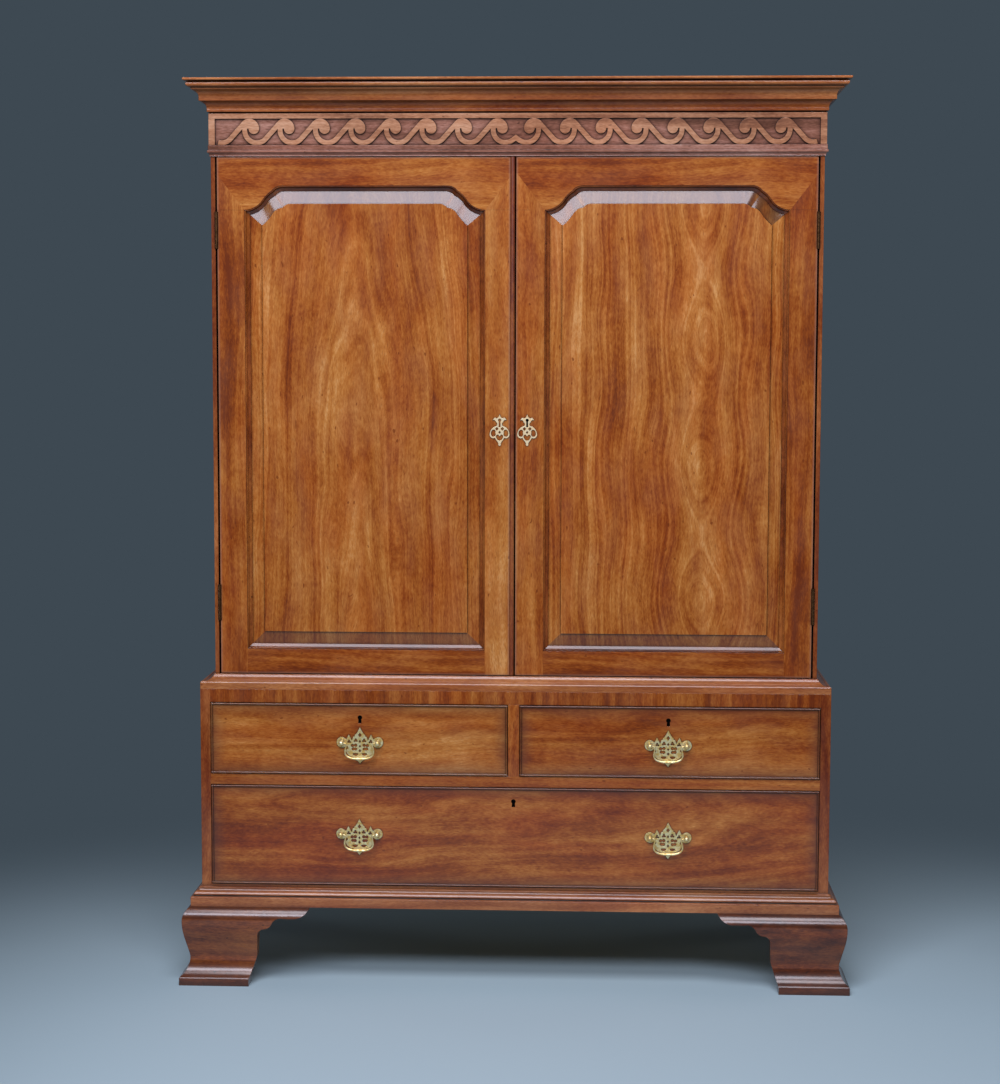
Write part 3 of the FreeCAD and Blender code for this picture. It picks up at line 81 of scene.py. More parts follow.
class Graph:
    """The node tree of one material or of the world."""

    def __init__(self, tree: bpy.types.NodeTree) -> None:
        """Start from an empty tree.

        Args:
            tree: the tree to fill.
        """
        self.tree = tree
        tree.nodes.clear()

    def add(
            self, kind: str, inputs: dict | None = None, settings: dict | None = None,
            out: int | str = 0) -> Link:
        """Add a node with its settings and links.

        Args:
            kind: the node's type name without its "ShaderNode".
            inputs: a value or a socket for each input, by name or number. A Map Range's are numbered
                value, from low, from high, to low, to high.
            settings: the node's own properties.
            out: the output to hand back, by name or number.

        Returns:
            The output socket, or the node's first input when it has no output.
        """
        node = self.tree.nodes.new("ShaderNode" + kind)
        for name, value in (settings or {}).items():
            setattr(node, name, value)
        for name, value in (inputs or {}).items():
            if isinstance(value, bpy.types.NodeSocket):
                self.tree.links.new(value, node.inputs[name])
            else:
                node.inputs[name].default_value = value
        return node.outputs[out] if node.outputs else node.inputs[0]


def blank(name: str) -> tuple[bpy.types.Material, Graph]:
    """Make an empty material.

    Args:
        name: its name.

    Returns:
        The material and its tree.
    """
    made = bpy.data.materials.new(name)
    made.use_nodes = True
    return made, Graph(made.node_tree)


class Grain(Enum):
    """The direction in which a board's grain runs, with the order of its (along, across, deep) axes."""

    ACROSS = ("X", "Z", "Y")
    DEEP = ("Y", "Z", "X")
    UPRIGHT = ("Z", "X", "Y")


@dataclass(frozen=True)
class Board:
    """One board of a node: the box it fills, and the place in its log that it was cut from.

    heart is where the log's heart meets the board, as (along, across, deep) in mm of the frame.
    """

    grain: Grain
    heart: tuple[float, float, float]
    tone: float = 0.0  # how much lighter the board is than its palette's middle
    low: tuple[float, float, float] = (-FAR, -FAR, -FAR)
    high: tuple[float, float, float] = (FAR, FAR, FAR)
    mitred_at: float = 0.0  # where not 0, the board is the side run of a moulding mitred there
    mitre: tuple[float, float, float] | None = None  # a rail's (middle, half width, rise) above low z


@dataclass(frozen=True)
class Patches:
    """A noise in the log: how large its patches are along, across and deep in mm, and what of it shows."""

    size: tuple[float, float, float]
    detail: float = 2.0
    shift: tuple[float, float, float] = (0.0, 0.0, 0.0)  # in patches, so that no two noises agree
    start: float = 0.0  # the level at which a patch starts to show
    full: float = 1.0  # the level at which it shows in full

    def draw(self, graph: Graph, log: Link, out: int | str = 0) -> Link:
        """Draw the noise.

        Args:
            graph: the material's tree.
            log: the place in the log, in mm.
            out: the noise's output to hand back.

        Returns:
            The noise's level, or its colour.
        """
        scale = tuple(1 / length for length in self.size)
        spread = graph.add("Mapping", {0: log, "Location": self.shift, "Scale": scale})
        return graph.add("TexNoise", {"Vector": spread, "Scale": 1.0, "Detail": self.detail}, out=out)

    def show(self, graph: Graph, log: Link, strength: float) -> Link:
        """Draw only the noise's patches.

        Args:
            graph: the material's tree.
            log: the place in the log, in mm.
            strength: what a patch comes to where it shows in full.

        Returns:
            The patches, on 0.
        """
        noise = self.draw(graph, log)
        return graph.add("MapRange", {0: noise, 1: self.start, 2: self.full, 3: 0.0, 4: strength})


DRIFT = Patches((520.0, 130.0, 130.0))  # bends the rings and the grain
FIBRES = Patches((9.0, 2.6, 2.6))  # real fibres are finer: these are as coarse as they need to show
STREAKS = Patches((330.0, 52.0, 52.0), 3.0, (3.7, 8.1, 2.9), 0.42, 0.64)
VEILS = Patches((120.0, 42.0, 42.0), 4.0, (1.3, 5.2, 7.7), 0.42, 0.68)
# real pores are 0.2 mm wide: they are drawn 1.1 mm wide and 14 mm long so that they show
PORES = Patches((14.0, 1.1, 1.1), 1.0, start=0.55, full=0.75)
DENTS = Patches((13.0, 6.0, 6.0), 0.0, (6.1, 2.3, 4.9), 0.8, 0.85)


@dataclass(frozen=True)
class Figure:
    """How a wood's rings, ribbons, mottle, fibres and pores show: sizes in mm, and each one's strength."""

    ring: float = 34.0
    rings: float = 0.6
    line: float = 6.0
    lines: float = 0.35
    lean: float = 0.05
    swell: float = 0.0  # how far the log's heart swings in and out of the board
    swing: float = 540.0  # the length of one such swing
    wander: float = 14.0
    ribbon: float = 30.0
    ribbon_length: float = 330.0
    ribbon_depth: float = 60.0
    ribbons: float = 1.0
    cloud: float = 110.0
    clouds: float = 0.8
    mottle: float = 26.0
    mottle_width: float = 15.0
    mottles: float = 0.45
    fibres: float = 0.6
    pores: float = 0.5
    marks: float = 0.7  # how dark its few old dents and flecks are
    blush: float = 0.4  # how far the redder streaks turn
    haze: float = 0.14  # how much of the wood shows greyer through its old wax


@dataclass(frozen=True)
class Edging:
    """The darker border of a board, and the beads let in round it, from its middle and half sizes in mm."""

    middle: tuple[float, float]
    half: tuple[float, float]
    fade: float = 38.0
    depth: float = 0.6
    bead: float = 0.0
    beaded: float = 0.32  # how far the beads are darkened
    stain: str = "#5c382a"


@dataclass(frozen=True)
class Wood:
    """Sawn, planed and finished wood, drawn solid so that its figure runs on over every edge."""

    shades: tuple[str, ...]
    boards: tuple[Board, ...]
    figure: Figure = Figure()
    roughness: float = 0.42
    specular: float = 0.08
    coat: float = 0.9
    coat_roughness: float = 0.12
    blush: str = "#f2c096"  # what the redder streaks are multiplied by
    film: str = "#94664e"  # old wax, greyed
    facing_shade: float = 0.0  # how far the faces that look up are painted darker, as shade
    downward_shade_share: float = 0.5  # the share of it on those that look down
    facing_shade_ramp: tuple[float, float] = (0.08, 0.16)  # how far a face looks up where the painted shade starts and is full
    # the dark of dirt and of painted shade, in joints, in corners, on beads and on faces that look up or
    # down
    grime_and_shade: str = "#180602"
    grime_and_shade_reach: float = 10.0  # mm out from a corner, how far the dirt and painted shade reach
    grime_and_shade_depth: float = 0.92
    grime_and_shade_span: tuple[float, float] = (0.45, 0.97)  # open shares at which the dirt and painted shade are full and gone
    edging: Edging | None = None
    seams: tuple[float, ...] = ()  # x in mm of the joints between boards set side by side
    seam: float = 1.4  # mm, half the width that a joint darkens
    arris: float = 1.2  # mm, the rubbed radius of every edge
    gloss_swing: float = 0.07  # how far the roughness strays with the figure
    pore_relief: float = 0.12
    pore_depth: float = 0.4  # mm
    ior: float = 1.5  # of wood and wax alike
    corner_samples: int = 8

    def place(self, graph: Graph) -> tuple[Link, Link | float, list[Link]]:
        """Find each point's place in the log its board was cut from.

        Args:
            graph: the material's tree.

        Returns:
            The (along, across, deep) place in mm, the board's tone, and the point's own x, y and z in mm.
        """
        point = graph.add("TexCoord", out="Object")
        scaled = graph.add("VectorMath", {0: point, "Scale": 1 / MM}, {"operation": "SCALE"})
        axes = {name: graph.add("SeparateXYZ", {0: scaled}, out=name) for name in "XYZ"}
        log: Link | None = None
        tone: Link | float = self.boards[0].tone
        for board in self.boards:
            order = zip("XYZ", board.grain.value)
            turned = graph.add("CombineXYZ", {name: axes[axis] for name, axis in order})
            moved = graph.add("VectorMath", {0: turned, 1: board.heart}, {"operation": "SUBTRACT"})
            if log is None:
                log = moved
                continue
            inside = self.inside(graph, board, axes)
            log = graph.add("Mix", {0: inside, 4: log, 5: moved}, {"data_type": "VECTOR"}, out=1)
            tone = graph.add("Mix", {0: inside, 2: tone, 3: board.tone})
        return log, tone, list(axes.values())

    def inside(self, graph: Graph, board: Board, axes: dict[str, Link]) -> Link:
        """Mark the points that belong to a board.

        Args:
            graph: the material's tree.
            board: the board.
            axes: the point's x, y and z in mm.

        Returns:
            1 inside the board and 0 elsewhere.
        """
        if board.mitred_at:
            wide = graph.add("Math", {0: axes["X"]}, {"operation": "ABSOLUTE"})
            reach = graph.add("Math", {0: wide, 1: axes["Y"]}, {"operation": "ADD"})
            return graph.add("Math", {0: reach, 1: board.mitred_at}, {"operation": "GREATER_THAN"})
        if board.mitre:
            middle, half, rise = board.mitre
            off = graph.add("Math", {0: axes["X"], 1: middle}, {"operation": "SUBTRACT"})
            wide = graph.add("Math", {0: off}, {"operation": "ABSOLUTE"})
            past = graph.add("Math", {0: wide, 1: half}, {"operation": "SUBTRACT"})
            beyond = graph.add("Math", {0: past, 1: 0.0}, {"operation": "MAXIMUM"})
            edge = graph.add("Math", {0: beyond, 1: rise, 2: board.low[2]}, {"operation": "MULTIPLY_ADD"})
            return graph.add("Math", {0: axes["Z"], 1: edge}, {"operation": "GREATER_THAN"})
        found: Link | float = 1.0
        for name, low, high in zip("XYZ", board.low, board.high):
            if low > -FAR or high < FAR:
                span = {0: axes[name], 1: (low + high) / 2, 2: (high - low) / 2}
                within = graph.add("Math", span, {"operation": "COMPARE"})
                found = graph.add("Math", {0: found, 1: within}, {"operation": "MULTIPLY"})
        return found

    def shade(self, graph: Graph, log: Link, tone: Link | float) -> tuple[Link, Link, Link, Link]:
        """Draw the figure.

        Args:
            graph: the material's tree.
            log: the place in the log, in mm.
            tone: what the board adds to the figure.

        Returns:
            The figure from 0, dark, to 1, light; the redder streaks; the greyer haze; the pores and dents.
        """
        figure = self.figure
        drift = DRIFT.draw(graph, log, "Color")
        centred = graph.add("VectorMath", {0: drift, 1: (MEAN, MEAN, MEAN)}, {"operation": "SUBTRACT"})
        reach = (0, STRAY * figure.wander, STRAY * figure.wander)
        swing = graph.add("VectorMath", {0: centred, 1: reach}, {"operation": "MULTIPLY"})
        bent = graph.add("VectorMath", {0: log, 1: swing}, {"operation": "ADD"})
        along, across, deep = (graph.add("SeparateXYZ", {0: bent}, out=name) for name in "XYZ")
        risen = graph.add("Math", {0: along, 1: figure.lean, 2: deep}, {"operation": "MULTIPLY_ADD"})
        if figure.swell:
            phase = graph.add("Math", {0: along, 1: 2 * math.pi / figure.swing}, {"operation": "MULTIPLY"})
            wave = graph.add("Math", {0: phase}, {"operation": "SINE"})
            risen = graph.add("Math", {0: wave, 1: figure.swell, 2: risen}, {"operation": "MULTIPLY_ADD"})
        spoke = graph.add("CombineXYZ", {"Y": across, "Z": risen})
        radius = graph.add("VectorMath", {0: spoke}, {"operation": "LENGTH"}, out="Value")
        layers = []
        for spacing, detail, strength in (
                (figure.ring, 1.0, figure.rings), (figure.line, 2.0, figure.lines)):
            turn = graph.add("Math", {0: radius, 1: 1 / spacing}, {"operation": "MULTIPLY"})
            noise = graph.add(
                "TexNoise", {"W": turn, "Scale": 1.0, "Detail": detail}, {"noise_dimensions": "1D"})
            layers.append((noise, strength))
        for patches, strength in (
                (Patches((figure.ribbon_length, figure.ribbon, figure.ribbon_depth), 2.5), figure.ribbons),
                (Patches((2 * figure.cloud, figure.cloud, figure.cloud)), figure.clouds),
                (Patches((figure.mottle, figure.mottle_width, figure.mottle_width), 3.0), figure.mottles),
                (FIBRES, figure.fibres)):
            layers.append((patches.draw(graph, bent), strength))
        level = graph.add("Math", {0: tone, 1: MEAN - MEAN * sum(strength for _, strength in layers)})
        for noise, strength in layers:
            level = graph.add("Math", {0: noise, 1: strength, 2: level}, {"operation": "MULTIPLY_ADD"})
        red = STREAKS.show(graph, bent, figure.blush)
        haze = VEILS.show(graph, bent, figure.haze)
        pores = PORES.show(graph, bent, figure.pores)
        marks = DENTS.show(graph, bent, figure.marks)
        flaws = graph.add("Math", {0: pores, 1: marks}, {"operation": "MAXIMUM"})
        return level, red, haze, flaws

    def material(self, name: str) -> bpy.types.Material:
        """Make the material.

        Args:
            name: its name.

        Returns:
            The finished material.
        """
        made, graph = blank(name)
        log, tone, axes = self.place(graph)
        level, red, haze, flaws = self.shade(graph, log, tone)
        ramp = graph.add("ValToRGB", {0: level})
        elements = ramp.node.color_ramp.elements
        for index, code in enumerate(self.shades):
            stop = elements[index] if index < len(elements) else elements.new(1.0)
            stop.position = index / (len(self.shades) - 1)
            stop.color = linear(code)
        colour = graph.add("Mix", {SHARE: red, UNDER: ramp, OVER: linear(self.blush)}, TINTS, MIXED)
        colour = graph.add("Mix", {SHARE: haze, UNDER: colour, OVER: linear(self.film)}, COLOURS, MIXED)
        pore = linear(self.shades[0])
        colour = graph.add("Mix", {SHARE: flaws, UNDER: colour, OVER: pore}, COLOURS, MIXED)
        grime_and_shade = linear(self.grime_and_shade)
        for place in self.seams:
            joint = graph.add("Math", {0: axes[0], 1: place, 2: self.seam}, {"operation": "COMPARE"})
            dark = graph.add("Math", {0: joint, 1: self.grime_and_shade_depth}, {"operation": "MULTIPLY"})
            colour = graph.add("Mix", {SHARE: dark, UNDER: colour, OVER: grime_and_shade}, COLOURS, MIXED)
        if self.edging:
            colour = self.darken_edges(graph, colour, axes)
        # painted shade: faces that look up or down are drawn darker
        if self.facing_shade:
            colour = self.paint_facing_shade(graph, colour)
        # dirt and painted shade: each point darker by how enclosed it is
        reach = {"Distance": self.grime_and_shade_reach * MM}
        open_share = graph.add("AmbientOcclusion", reach, {"samples": self.corner_samples}, "AO")
        shut, clear = self.grime_and_shade_span
        hidden = graph.add("MapRange", {0: open_share, 1: shut, 2: clear, 3: self.grime_and_shade_depth, 4: 0.0})
        colour = graph.add("Mix", {SHARE: hidden, UNDER: colour, OVER: grime_and_shade}, COLOURS, MIXED)
        dull, glossy = self.roughness + self.gloss_swing, self.roughness - self.gloss_swing
        rough = graph.add("MapRange", {0: level, 1: 0.0, 2: 1.0, 3: dull, 4: glossy})
        rubbed = graph.add("Bevel", {"Radius": self.arris * MM}, {"samples": BEVEL_SAMPLES})
        relief = graph.add("Bump", {
            "Height": flaws, "Strength": self.pore_relief, "Distance": self.pore_depth * MM,
            "Normal": rubbed}, {"invert": True})
        surface = graph.add("BsdfPrincipled", {
            "Base Color": colour, "Roughness": rough, "IOR": self.ior,
            "Specular IOR Level": self.specular, "Coat Weight": self.coat,
            "Coat Roughness": self.coat_roughness, "Coat IOR": self.ior,
            "Normal": relief, "Coat Normal": rubbed})
        graph.add("OutputMaterial", {"Surface": surface})
        return made

    def paint_facing_shade(self, graph: Graph, colour: Link) -> Link:
        """Paint shade on the faces that look up or down: darker by which way they face.

        Args:
            graph: the material's tree.
            colour: the wood's colour.

        Returns:
            The darkened colour.
        """
        facing = graph.add("TexCoord", out="Normal")
        upward = graph.add("SeparateXYZ", {0: facing}, out="Z")
        start, full = self.facing_shade_ramp
        above = graph.add("MapRange", {0: upward, 1: start, 2: full, 3: 0.0, 4: self.facing_shade})
        under = self.downward_shade_share * self.facing_shade
        below = graph.add("MapRange", {0: upward, 1: -full, 2: -start, 3: under, 4: 0.0})
        facing_share = graph.add("Math", {0: above, 1: below}, {"operation": "MAXIMUM"})
        facing_dark = linear(self.grime_and_shade)
        return graph.add("Mix", {SHARE: facing_share, UNDER: colour, OVER: facing_dark}, COLOURS, MIXED)

    def darken_edges(self, graph: Graph, colour: Link, axes: list[Link]) -> Link:
        """Darken a front towards its border, and more so on the beads let in round it.

        Args:
            graph: the material's tree.
            colour: the wood's colour.
            axes: the point's x, y and z in mm.

        Returns:
            The darkened colour.
        """
        edging = self.edging
        rooms = []
        for axis, middle, half in zip((axes[0], axes[2]), edging.middle, edging.half):
            off = graph.add("Math", {0: axis, 1: middle}, {"operation": "SUBTRACT"})
            away = graph.add("Math", {0: off}, {"operation": "ABSOLUTE"})
            rooms.append(graph.add("Math", {0: half, 1: away}, {"operation": "SUBTRACT"}))
        rounding = edging.fade / 4
        room = graph.add("Math", {0: rooms[0], 1: rooms[1], 2: rounding}, {"operation": "SMOOTH_MIN"})
        faded = graph.add(
            "MapRange", {0: room, 1: -rounding / 2, 2: edging.fade, 3: edging.depth, 4: 0.0},
            {"interpolation_type": "SMOOTHSTEP"})
        stain = linear(edging.stain)
        stained = graph.add("Mix", {SHARE: faded, UNDER: colour, OVER: stain}, COLOURS, MIXED)
        nearest = graph.add("Math", {0: rooms[0], 1: rooms[1]}, {"operation": "MINIMUM"})
        bead = graph.add("Math", {0: nearest, 1: edging.bead}, {"operation": "LESS_THAN"})
        beaded = graph.add("Math", {0: bead, 1: edging.beaded}, {"operation": "MULTIPLY"})
        grime_and_shade = linear(self.grime_and_shade)
        return graph.add("Mix", {SHARE: beaded, UNDER: stained, OVER: grime_and_shade}, COLOURS, MIXED)


@dataclass(frozen=True)
class Brass:
    """Cast brass, filed, lacquered long ago and rubbed bright where hands reach."""

    bright: str = "#fff2bc"
    body: str = "#e4c272"
    tarnish: str = "#3e2a10"
    roughness: float = 0.42
    clear: float = 0.8  # how much of it shows as bare metal through its clouded lacquer
    lock_face: float = FAR  # mm along Y of the face behind a keyhole, painted black as the keyhole's shadow
    face_half: float = 0.4  # mm to either side of it
    # the black of the painted shadow inside a keyhole
    dark: str = "#060403"
    patch: float = 6.0  # mm, about how large a patch of worn lacquer is
    worn_span: tuple[float, float] = (0.38, 0.62)
    grime_and_shade_reach: float = 4.0  # mm out from a corner
    grime_and_shade_depth: float = 0.9
    grime_and_shade_span: tuple[float, float] = (0.35, 0.97)  # open shares at which grime is full and gone
    rough_span: tuple[float, float] = (0.3, 0.7)
    duller: float = 0.1  # how much rougher than its mean the lacquer gets
    brighter: float = 0.08
    pit: float = 0.9  # mm between the cast skin's pits, coarser than the real ones so that they show
    pit_relief: float = 0.3
    pit_depth: float = 0.3  # mm
    arris: float = 0.6  # mm
    corner_samples: int = 6

    def material(self, name: str) -> bpy.types.Material:
        """Make the material.

        Args:
            name: its name.

        Returns:
            The finished material.
        """
        made, graph = blank(name)
        point = graph.add("TexCoord", out="Object")
        patches = graph.add("TexNoise", {"Vector": point, "Scale": 1 / (self.patch * MM), "Detail": 4.0})
        start, full = self.worn_span
        worn = graph.add("MapRange", {0: patches, 1: start, 2: full})
        body, bright = linear(self.body), linear(self.bright)
        colour = graph.add("Mix", {SHARE: worn, UNDER: body, OVER: bright}, COLOURS, MIXED)
        reach = {"Distance": self.grime_and_shade_reach * MM}
        open_share = graph.add("AmbientOcclusion", reach, {"samples": self.corner_samples}, "AO")
        shut, clear = self.grime_and_shade_span
        hidden = graph.add("MapRange", {0: open_share, 1: shut, 2: clear, 3: self.grime_and_shade_depth, 4: 0.0})
        tarnish = linear(self.tarnish)
        colour = graph.add("Mix", {SHARE: hidden, UNDER: colour, OVER: tarnish}, COLOURS, MIXED)
        # painted shadow: the lock's face behind the keyhole is drawn black
        depth = graph.add("SeparateXYZ", {0: point}, out="Y")
        face = {0: depth, 1: self.lock_face * MM, 2: self.face_half * MM}
        inner = graph.add("Math", face, {"operation": "COMPARE"})
        colour = graph.add("Mix", {SHARE: inner, UNDER: colour, OVER: linear(self.dark)}, COLOURS, MIXED)
        smooth, coarse = self.rough_span
        dull, glossy = self.roughness + self.duller, self.roughness - self.brighter
        rough = graph.add("MapRange", {0: patches, 1: smooth, 2: coarse, 3: dull, 4: glossy})
        pits = graph.add("TexNoise", {"Vector": point, "Scale": 1 / (self.pit * MM), "Detail": 2.0})
        rubbed = graph.add("Bevel", {"Radius": self.arris * MM}, {"samples": BEVEL_SAMPLES})
        relief = graph.add("Bump", {
            "Height": pits, "Strength": self.pit_relief, "Distance": self.pit_depth * MM, "Normal": rubbed})
        surface = graph.add("BsdfPrincipled", {
            "Base Color": colour, "Metallic": self.clear, "Roughness": rough, "Normal": relief})
        graph.add("OutputMaterial", {"Surface": surface})
        return made


@dataclass(frozen=True)
class Steel:
    """Forged and filed steel, dulled and speckled by age."""

    body: str = "#6f6a64"
    rust: str = "#4a3526"
    speck: float = 3.0  # mm, about how large a speck of rust is
    rust_span: tuple[float, float] = (0.52, 0.68)
    rusted_metal: float = 0.25  # how much a speck still shines as metal
    rough_span: tuple[float, float] = (0.3, 0.7)
    filed: float = 0.38  # roughness where it is clean
    pitted: float = 0.6  # roughness in the rust
    relief: float = 0.2
    relief_depth: float = 0.3  # mm

    def material(self, name: str) -> bpy.types.Material:
        """Make the material.

        Args:
            name: its name.

        Returns:
            The finished material.
        """
        made, graph = blank(name)
        point = graph.add("TexCoord", out="Object")
        specks = graph.add("TexNoise", {"Vector": point, "Scale": 1 / (self.speck * MM), "Detail": 5.0})
        start, full = self.rust_span
        rusted = graph.add("MapRange", {0: specks, 1: start, 2: full})
        body, rust = linear(self.body), linear(self.rust)
        colour = graph.add("Mix", {SHARE: rusted, UNDER: body, OVER: rust}, COLOURS, MIXED)
        clean = graph.add("MapRange", {0: rusted, 3: 1.0, 4: self.rusted_metal})
        low, high = self.rough_span
        rough = graph.add("MapRange", {0: specks, 1: low, 2: high, 3: self.filed, 4: self.pitted})
        relief = graph.add(
            "Bump", {"Height": specks, "Strength": self.relief, "Distance": self.relief_depth * MM})
        surface = graph.add("BsdfPrincipled", {
            "Base Color": colour, "Metallic": clean, "Roughness": rough, "Normal": relief})
        graph.add("OutputMaterial", {"Surface": surface})
        return made


def dress(node: str, made: bpy.types.Material) -> None:
    """Give a node of the frame its material.

    Args:
        node: the node's name.
        made: the material.
    """
    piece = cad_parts[node]
    piece.data.materials.clear()
    piece.data.materials.append(made)


def box_mm(node: str) -> tuple[Vector, Vector]:
    """A node's lowest and highest corners in mm."""
    low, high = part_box(node)
    return low / MM, high / MM


def front_of(node: str) -> tuple[tuple[float, float], tuple[float, float]]:
    """Measure a node as it is seen from the front.

    Args:
        node: the node's name.

    Returns:
        Its middle and its half sizes, each as (across, up) in mm.
    """
    low, high = box_mm(node)
    middle = ((low.x + high.x) / 2, (low.z + high.z) / 2)
    return middle, ((high.x - low.x) / 2, (high.z - low.z) / 2)


# waxed mahogany, planed: red-brown and golden bands under a soft gloss
RED_BROWN = ("#581e06", "#72320e", "#8e4c1e", "#a66432", "#be7e4a")
GOLDEN = ("#6a2c08", "#8b4410", "#a76225", "#bc7b3a", "#d1985a")
# the same from a darker log, for the feet and the trim
BROWN = ("#2a0c00", "#4a1c04", "#6c320e", "#8c4a1a", "#a66228")
# the same where the sun has bleached it to a greyer rose
ROSY = ("#402214", "#603c2c", "#865a49", "#a27666", "#b8907c")
TAN = ("#5e3a28", "#84583e", "#a87858", "#be9070", "#cea588")
# planed or sawn oak, never waxed: straw brown, dry and matt
OAK_SHADES = ("#5e4222", "#85633a", "#a5814f", "#bd9a67")


@dataclass
class Back:
    """Upright oak back boards, each from its own place in the log, with dust in their joints."""

    node: str
    count: int
    apart: tuple[float, float, float] = (370.0, 60.0, -25.0)  # mm from one board's place to the next
    depth: float = 260.0  # mm from the first board to its log's heart
    tone: float = 0.14  # how far the boards' tones differ
    tones: int = 3
    roughness: float = 0.66

    def build(self) -> None:
        """Dress the boards."""
        low, high = box_mm(self.node)
        step = (high.x - low.x) / self.count
        places = [low.x + step * number for number in range(self.count + 1)]
        along, across, deep = self.apart
        boards = []
        for number, (start, stop) in enumerate(zip(places, places[1:])):
            heart = (along * number, start + across * number, self.depth + deep * number)
            tone = self.tone * (number % self.tones - 1)
            boards.append(Board(Grain.UPRIGHT, heart, tone, (start, -FAR, -FAR), (stop, FAR, FAR)))
        # sawn oak, never planed: the driest and mattest of the press's wood
        wood = Wood(
            OAK_SHADES, tuple(boards), coat=0.0, roughness=self.roughness, seams=tuple(places[1:-1]))
        dress(self.node, wood.material(f"oak_sawn_{self.node}"))


@dataclass
class Feet:
    """The four ogee bracket feet."""

    corner: tuple[float, float] = CHEST_CORNER
    shades: tuple[str, ...] = BROWN
    tones: tuple[float, float] = (0.08, -0.06)  # left and right
    hearts: tuple[float, float] = (90.0, 120.0)  # z in mm of the front brackets' hearts, left and right

    def build(self) -> None:
        """Dress the feet: each bracket's grain runs along it."""
        for name, tone, rise in zip(("left", "right"), self.tones, self.hearts):
            front = Board(Grain.ACROSS, (40.0, rise, -340.0), tone)
            beside = Board(Grain.DEEP, (0.0, 60.0, 500.0), tone, mitred_at=sum(self.corner))
            # sawn to an ogee and waxed thickly: the swell carries a long, soft highlight
            # its faces that look up or down are painted darker, as shade, and painted shade fills its
            # hollows
            wood = Wood(
                self.shades, (front, beside), roughness=0.34, specular=0.25, coat=1.0,
                coat_roughness=0.18, facing_shade=0.4, grime_and_shade_reach=26.0, grime_and_shade_depth=0.8)
            dress(f"foot_front_{name}", wood.material(f"mahogany_waxed_foot_front_{name}"))
            rear = Wood(self.shades, (Board(Grain.DEEP, (0.0, 90.0, 500.0)),), grime_and_shade_reach=40.0)
            dress(f"foot_rear_{name}", rear.material(f"mahogany_waxed_foot_rear_{name}"))


@dataclass
class Chest:
    """The chest's sides, rails, divider, boards and its two mouldings."""

    corner: tuple[float, float] = CHEST_CORNER
    upper_corner: tuple[float, float] = CUPBOARD_CORNER  # what the waist moulding runs round
    band: float = 599.0  # z of the top rail's foot
    back_count: int = 3

    def build(self) -> None:
        """Dress the chest."""
        for name, heart in (("left", -900.0), ("right", 820.0)):
            board = Board(Grain.UPRIGHT, (300.0, heart, 40.0), tone=-0.08)
            side = Wood(RED_BROWN, (board,), Figure(ring=20.0, lean=0.04))
            dress(f"base_side_{name}", side.material(f"mahogany_waxed_chest_side_{name}"))
        # the top rail is veneered across its length: short upright stripes in a row
        band = Board(
            Grain.UPRIGHT, (0.0, 4000.0, -300.0), -0.24, (-FAR, -FAR, self.band), (FAR, FAR, FAR))
        rails = Wood(
            GOLDEN, (Board(Grain.ACROSS, (100.0, 380.0, -300.0), -0.06), band),
            Figure(ring=26.0, lean=0.02, wander=3.0, ribbon=16.0, ribbons=0.7, mottles=0.2))
        dress("base_rails", rails.material("mahogany_crossbanded_rails"))
        divider = Wood(GOLDEN, (Board(Grain.UPRIGHT, (500.0, 60.0, -300.0), tone=-0.1),))
        dress("drawer_divider", divider.material("mahogany_waxed_divider"))
        # planed mouldings, rubbed by every duster: the sharpest gloss on the wood
        for node, corner in (("waist_moulding", self.upper_corner), ("plinth_moulding", self.corner)):
            runs = (
                Board(Grain.ACROSS, (0.0, 400.0, -500.0), tone=0.18),
                Board(Grain.DEEP, (0.0, 400.0, 900.0), tone=0.18, mitred_at=sum(corner)))
            # their faces that look up or down are painted a little darker, as shade
            run = Wood(
                RED_BROWN, runs, Figure(lean=0.01, mottles=0.3), specular=0.25, coat=1.0,
                coat_roughness=0.16, facing_shade=0.15)
            dress(node, run.material(f"mahogany_waxed_{node}"))
        # planed oak that no one waxes: dry, with no highlight
        oak = Wood(OAK_SHADES, (Board(Grain.ACROSS, (0.0, 60.0, 60.0)),), coat=0.0, roughness=0.62)
        for node in ("base_boards", "drawer_runners"):
            dress(node, oak.material(f"oak_planed_{node}"))
        Back("base_back_boards", self.back_count).build()


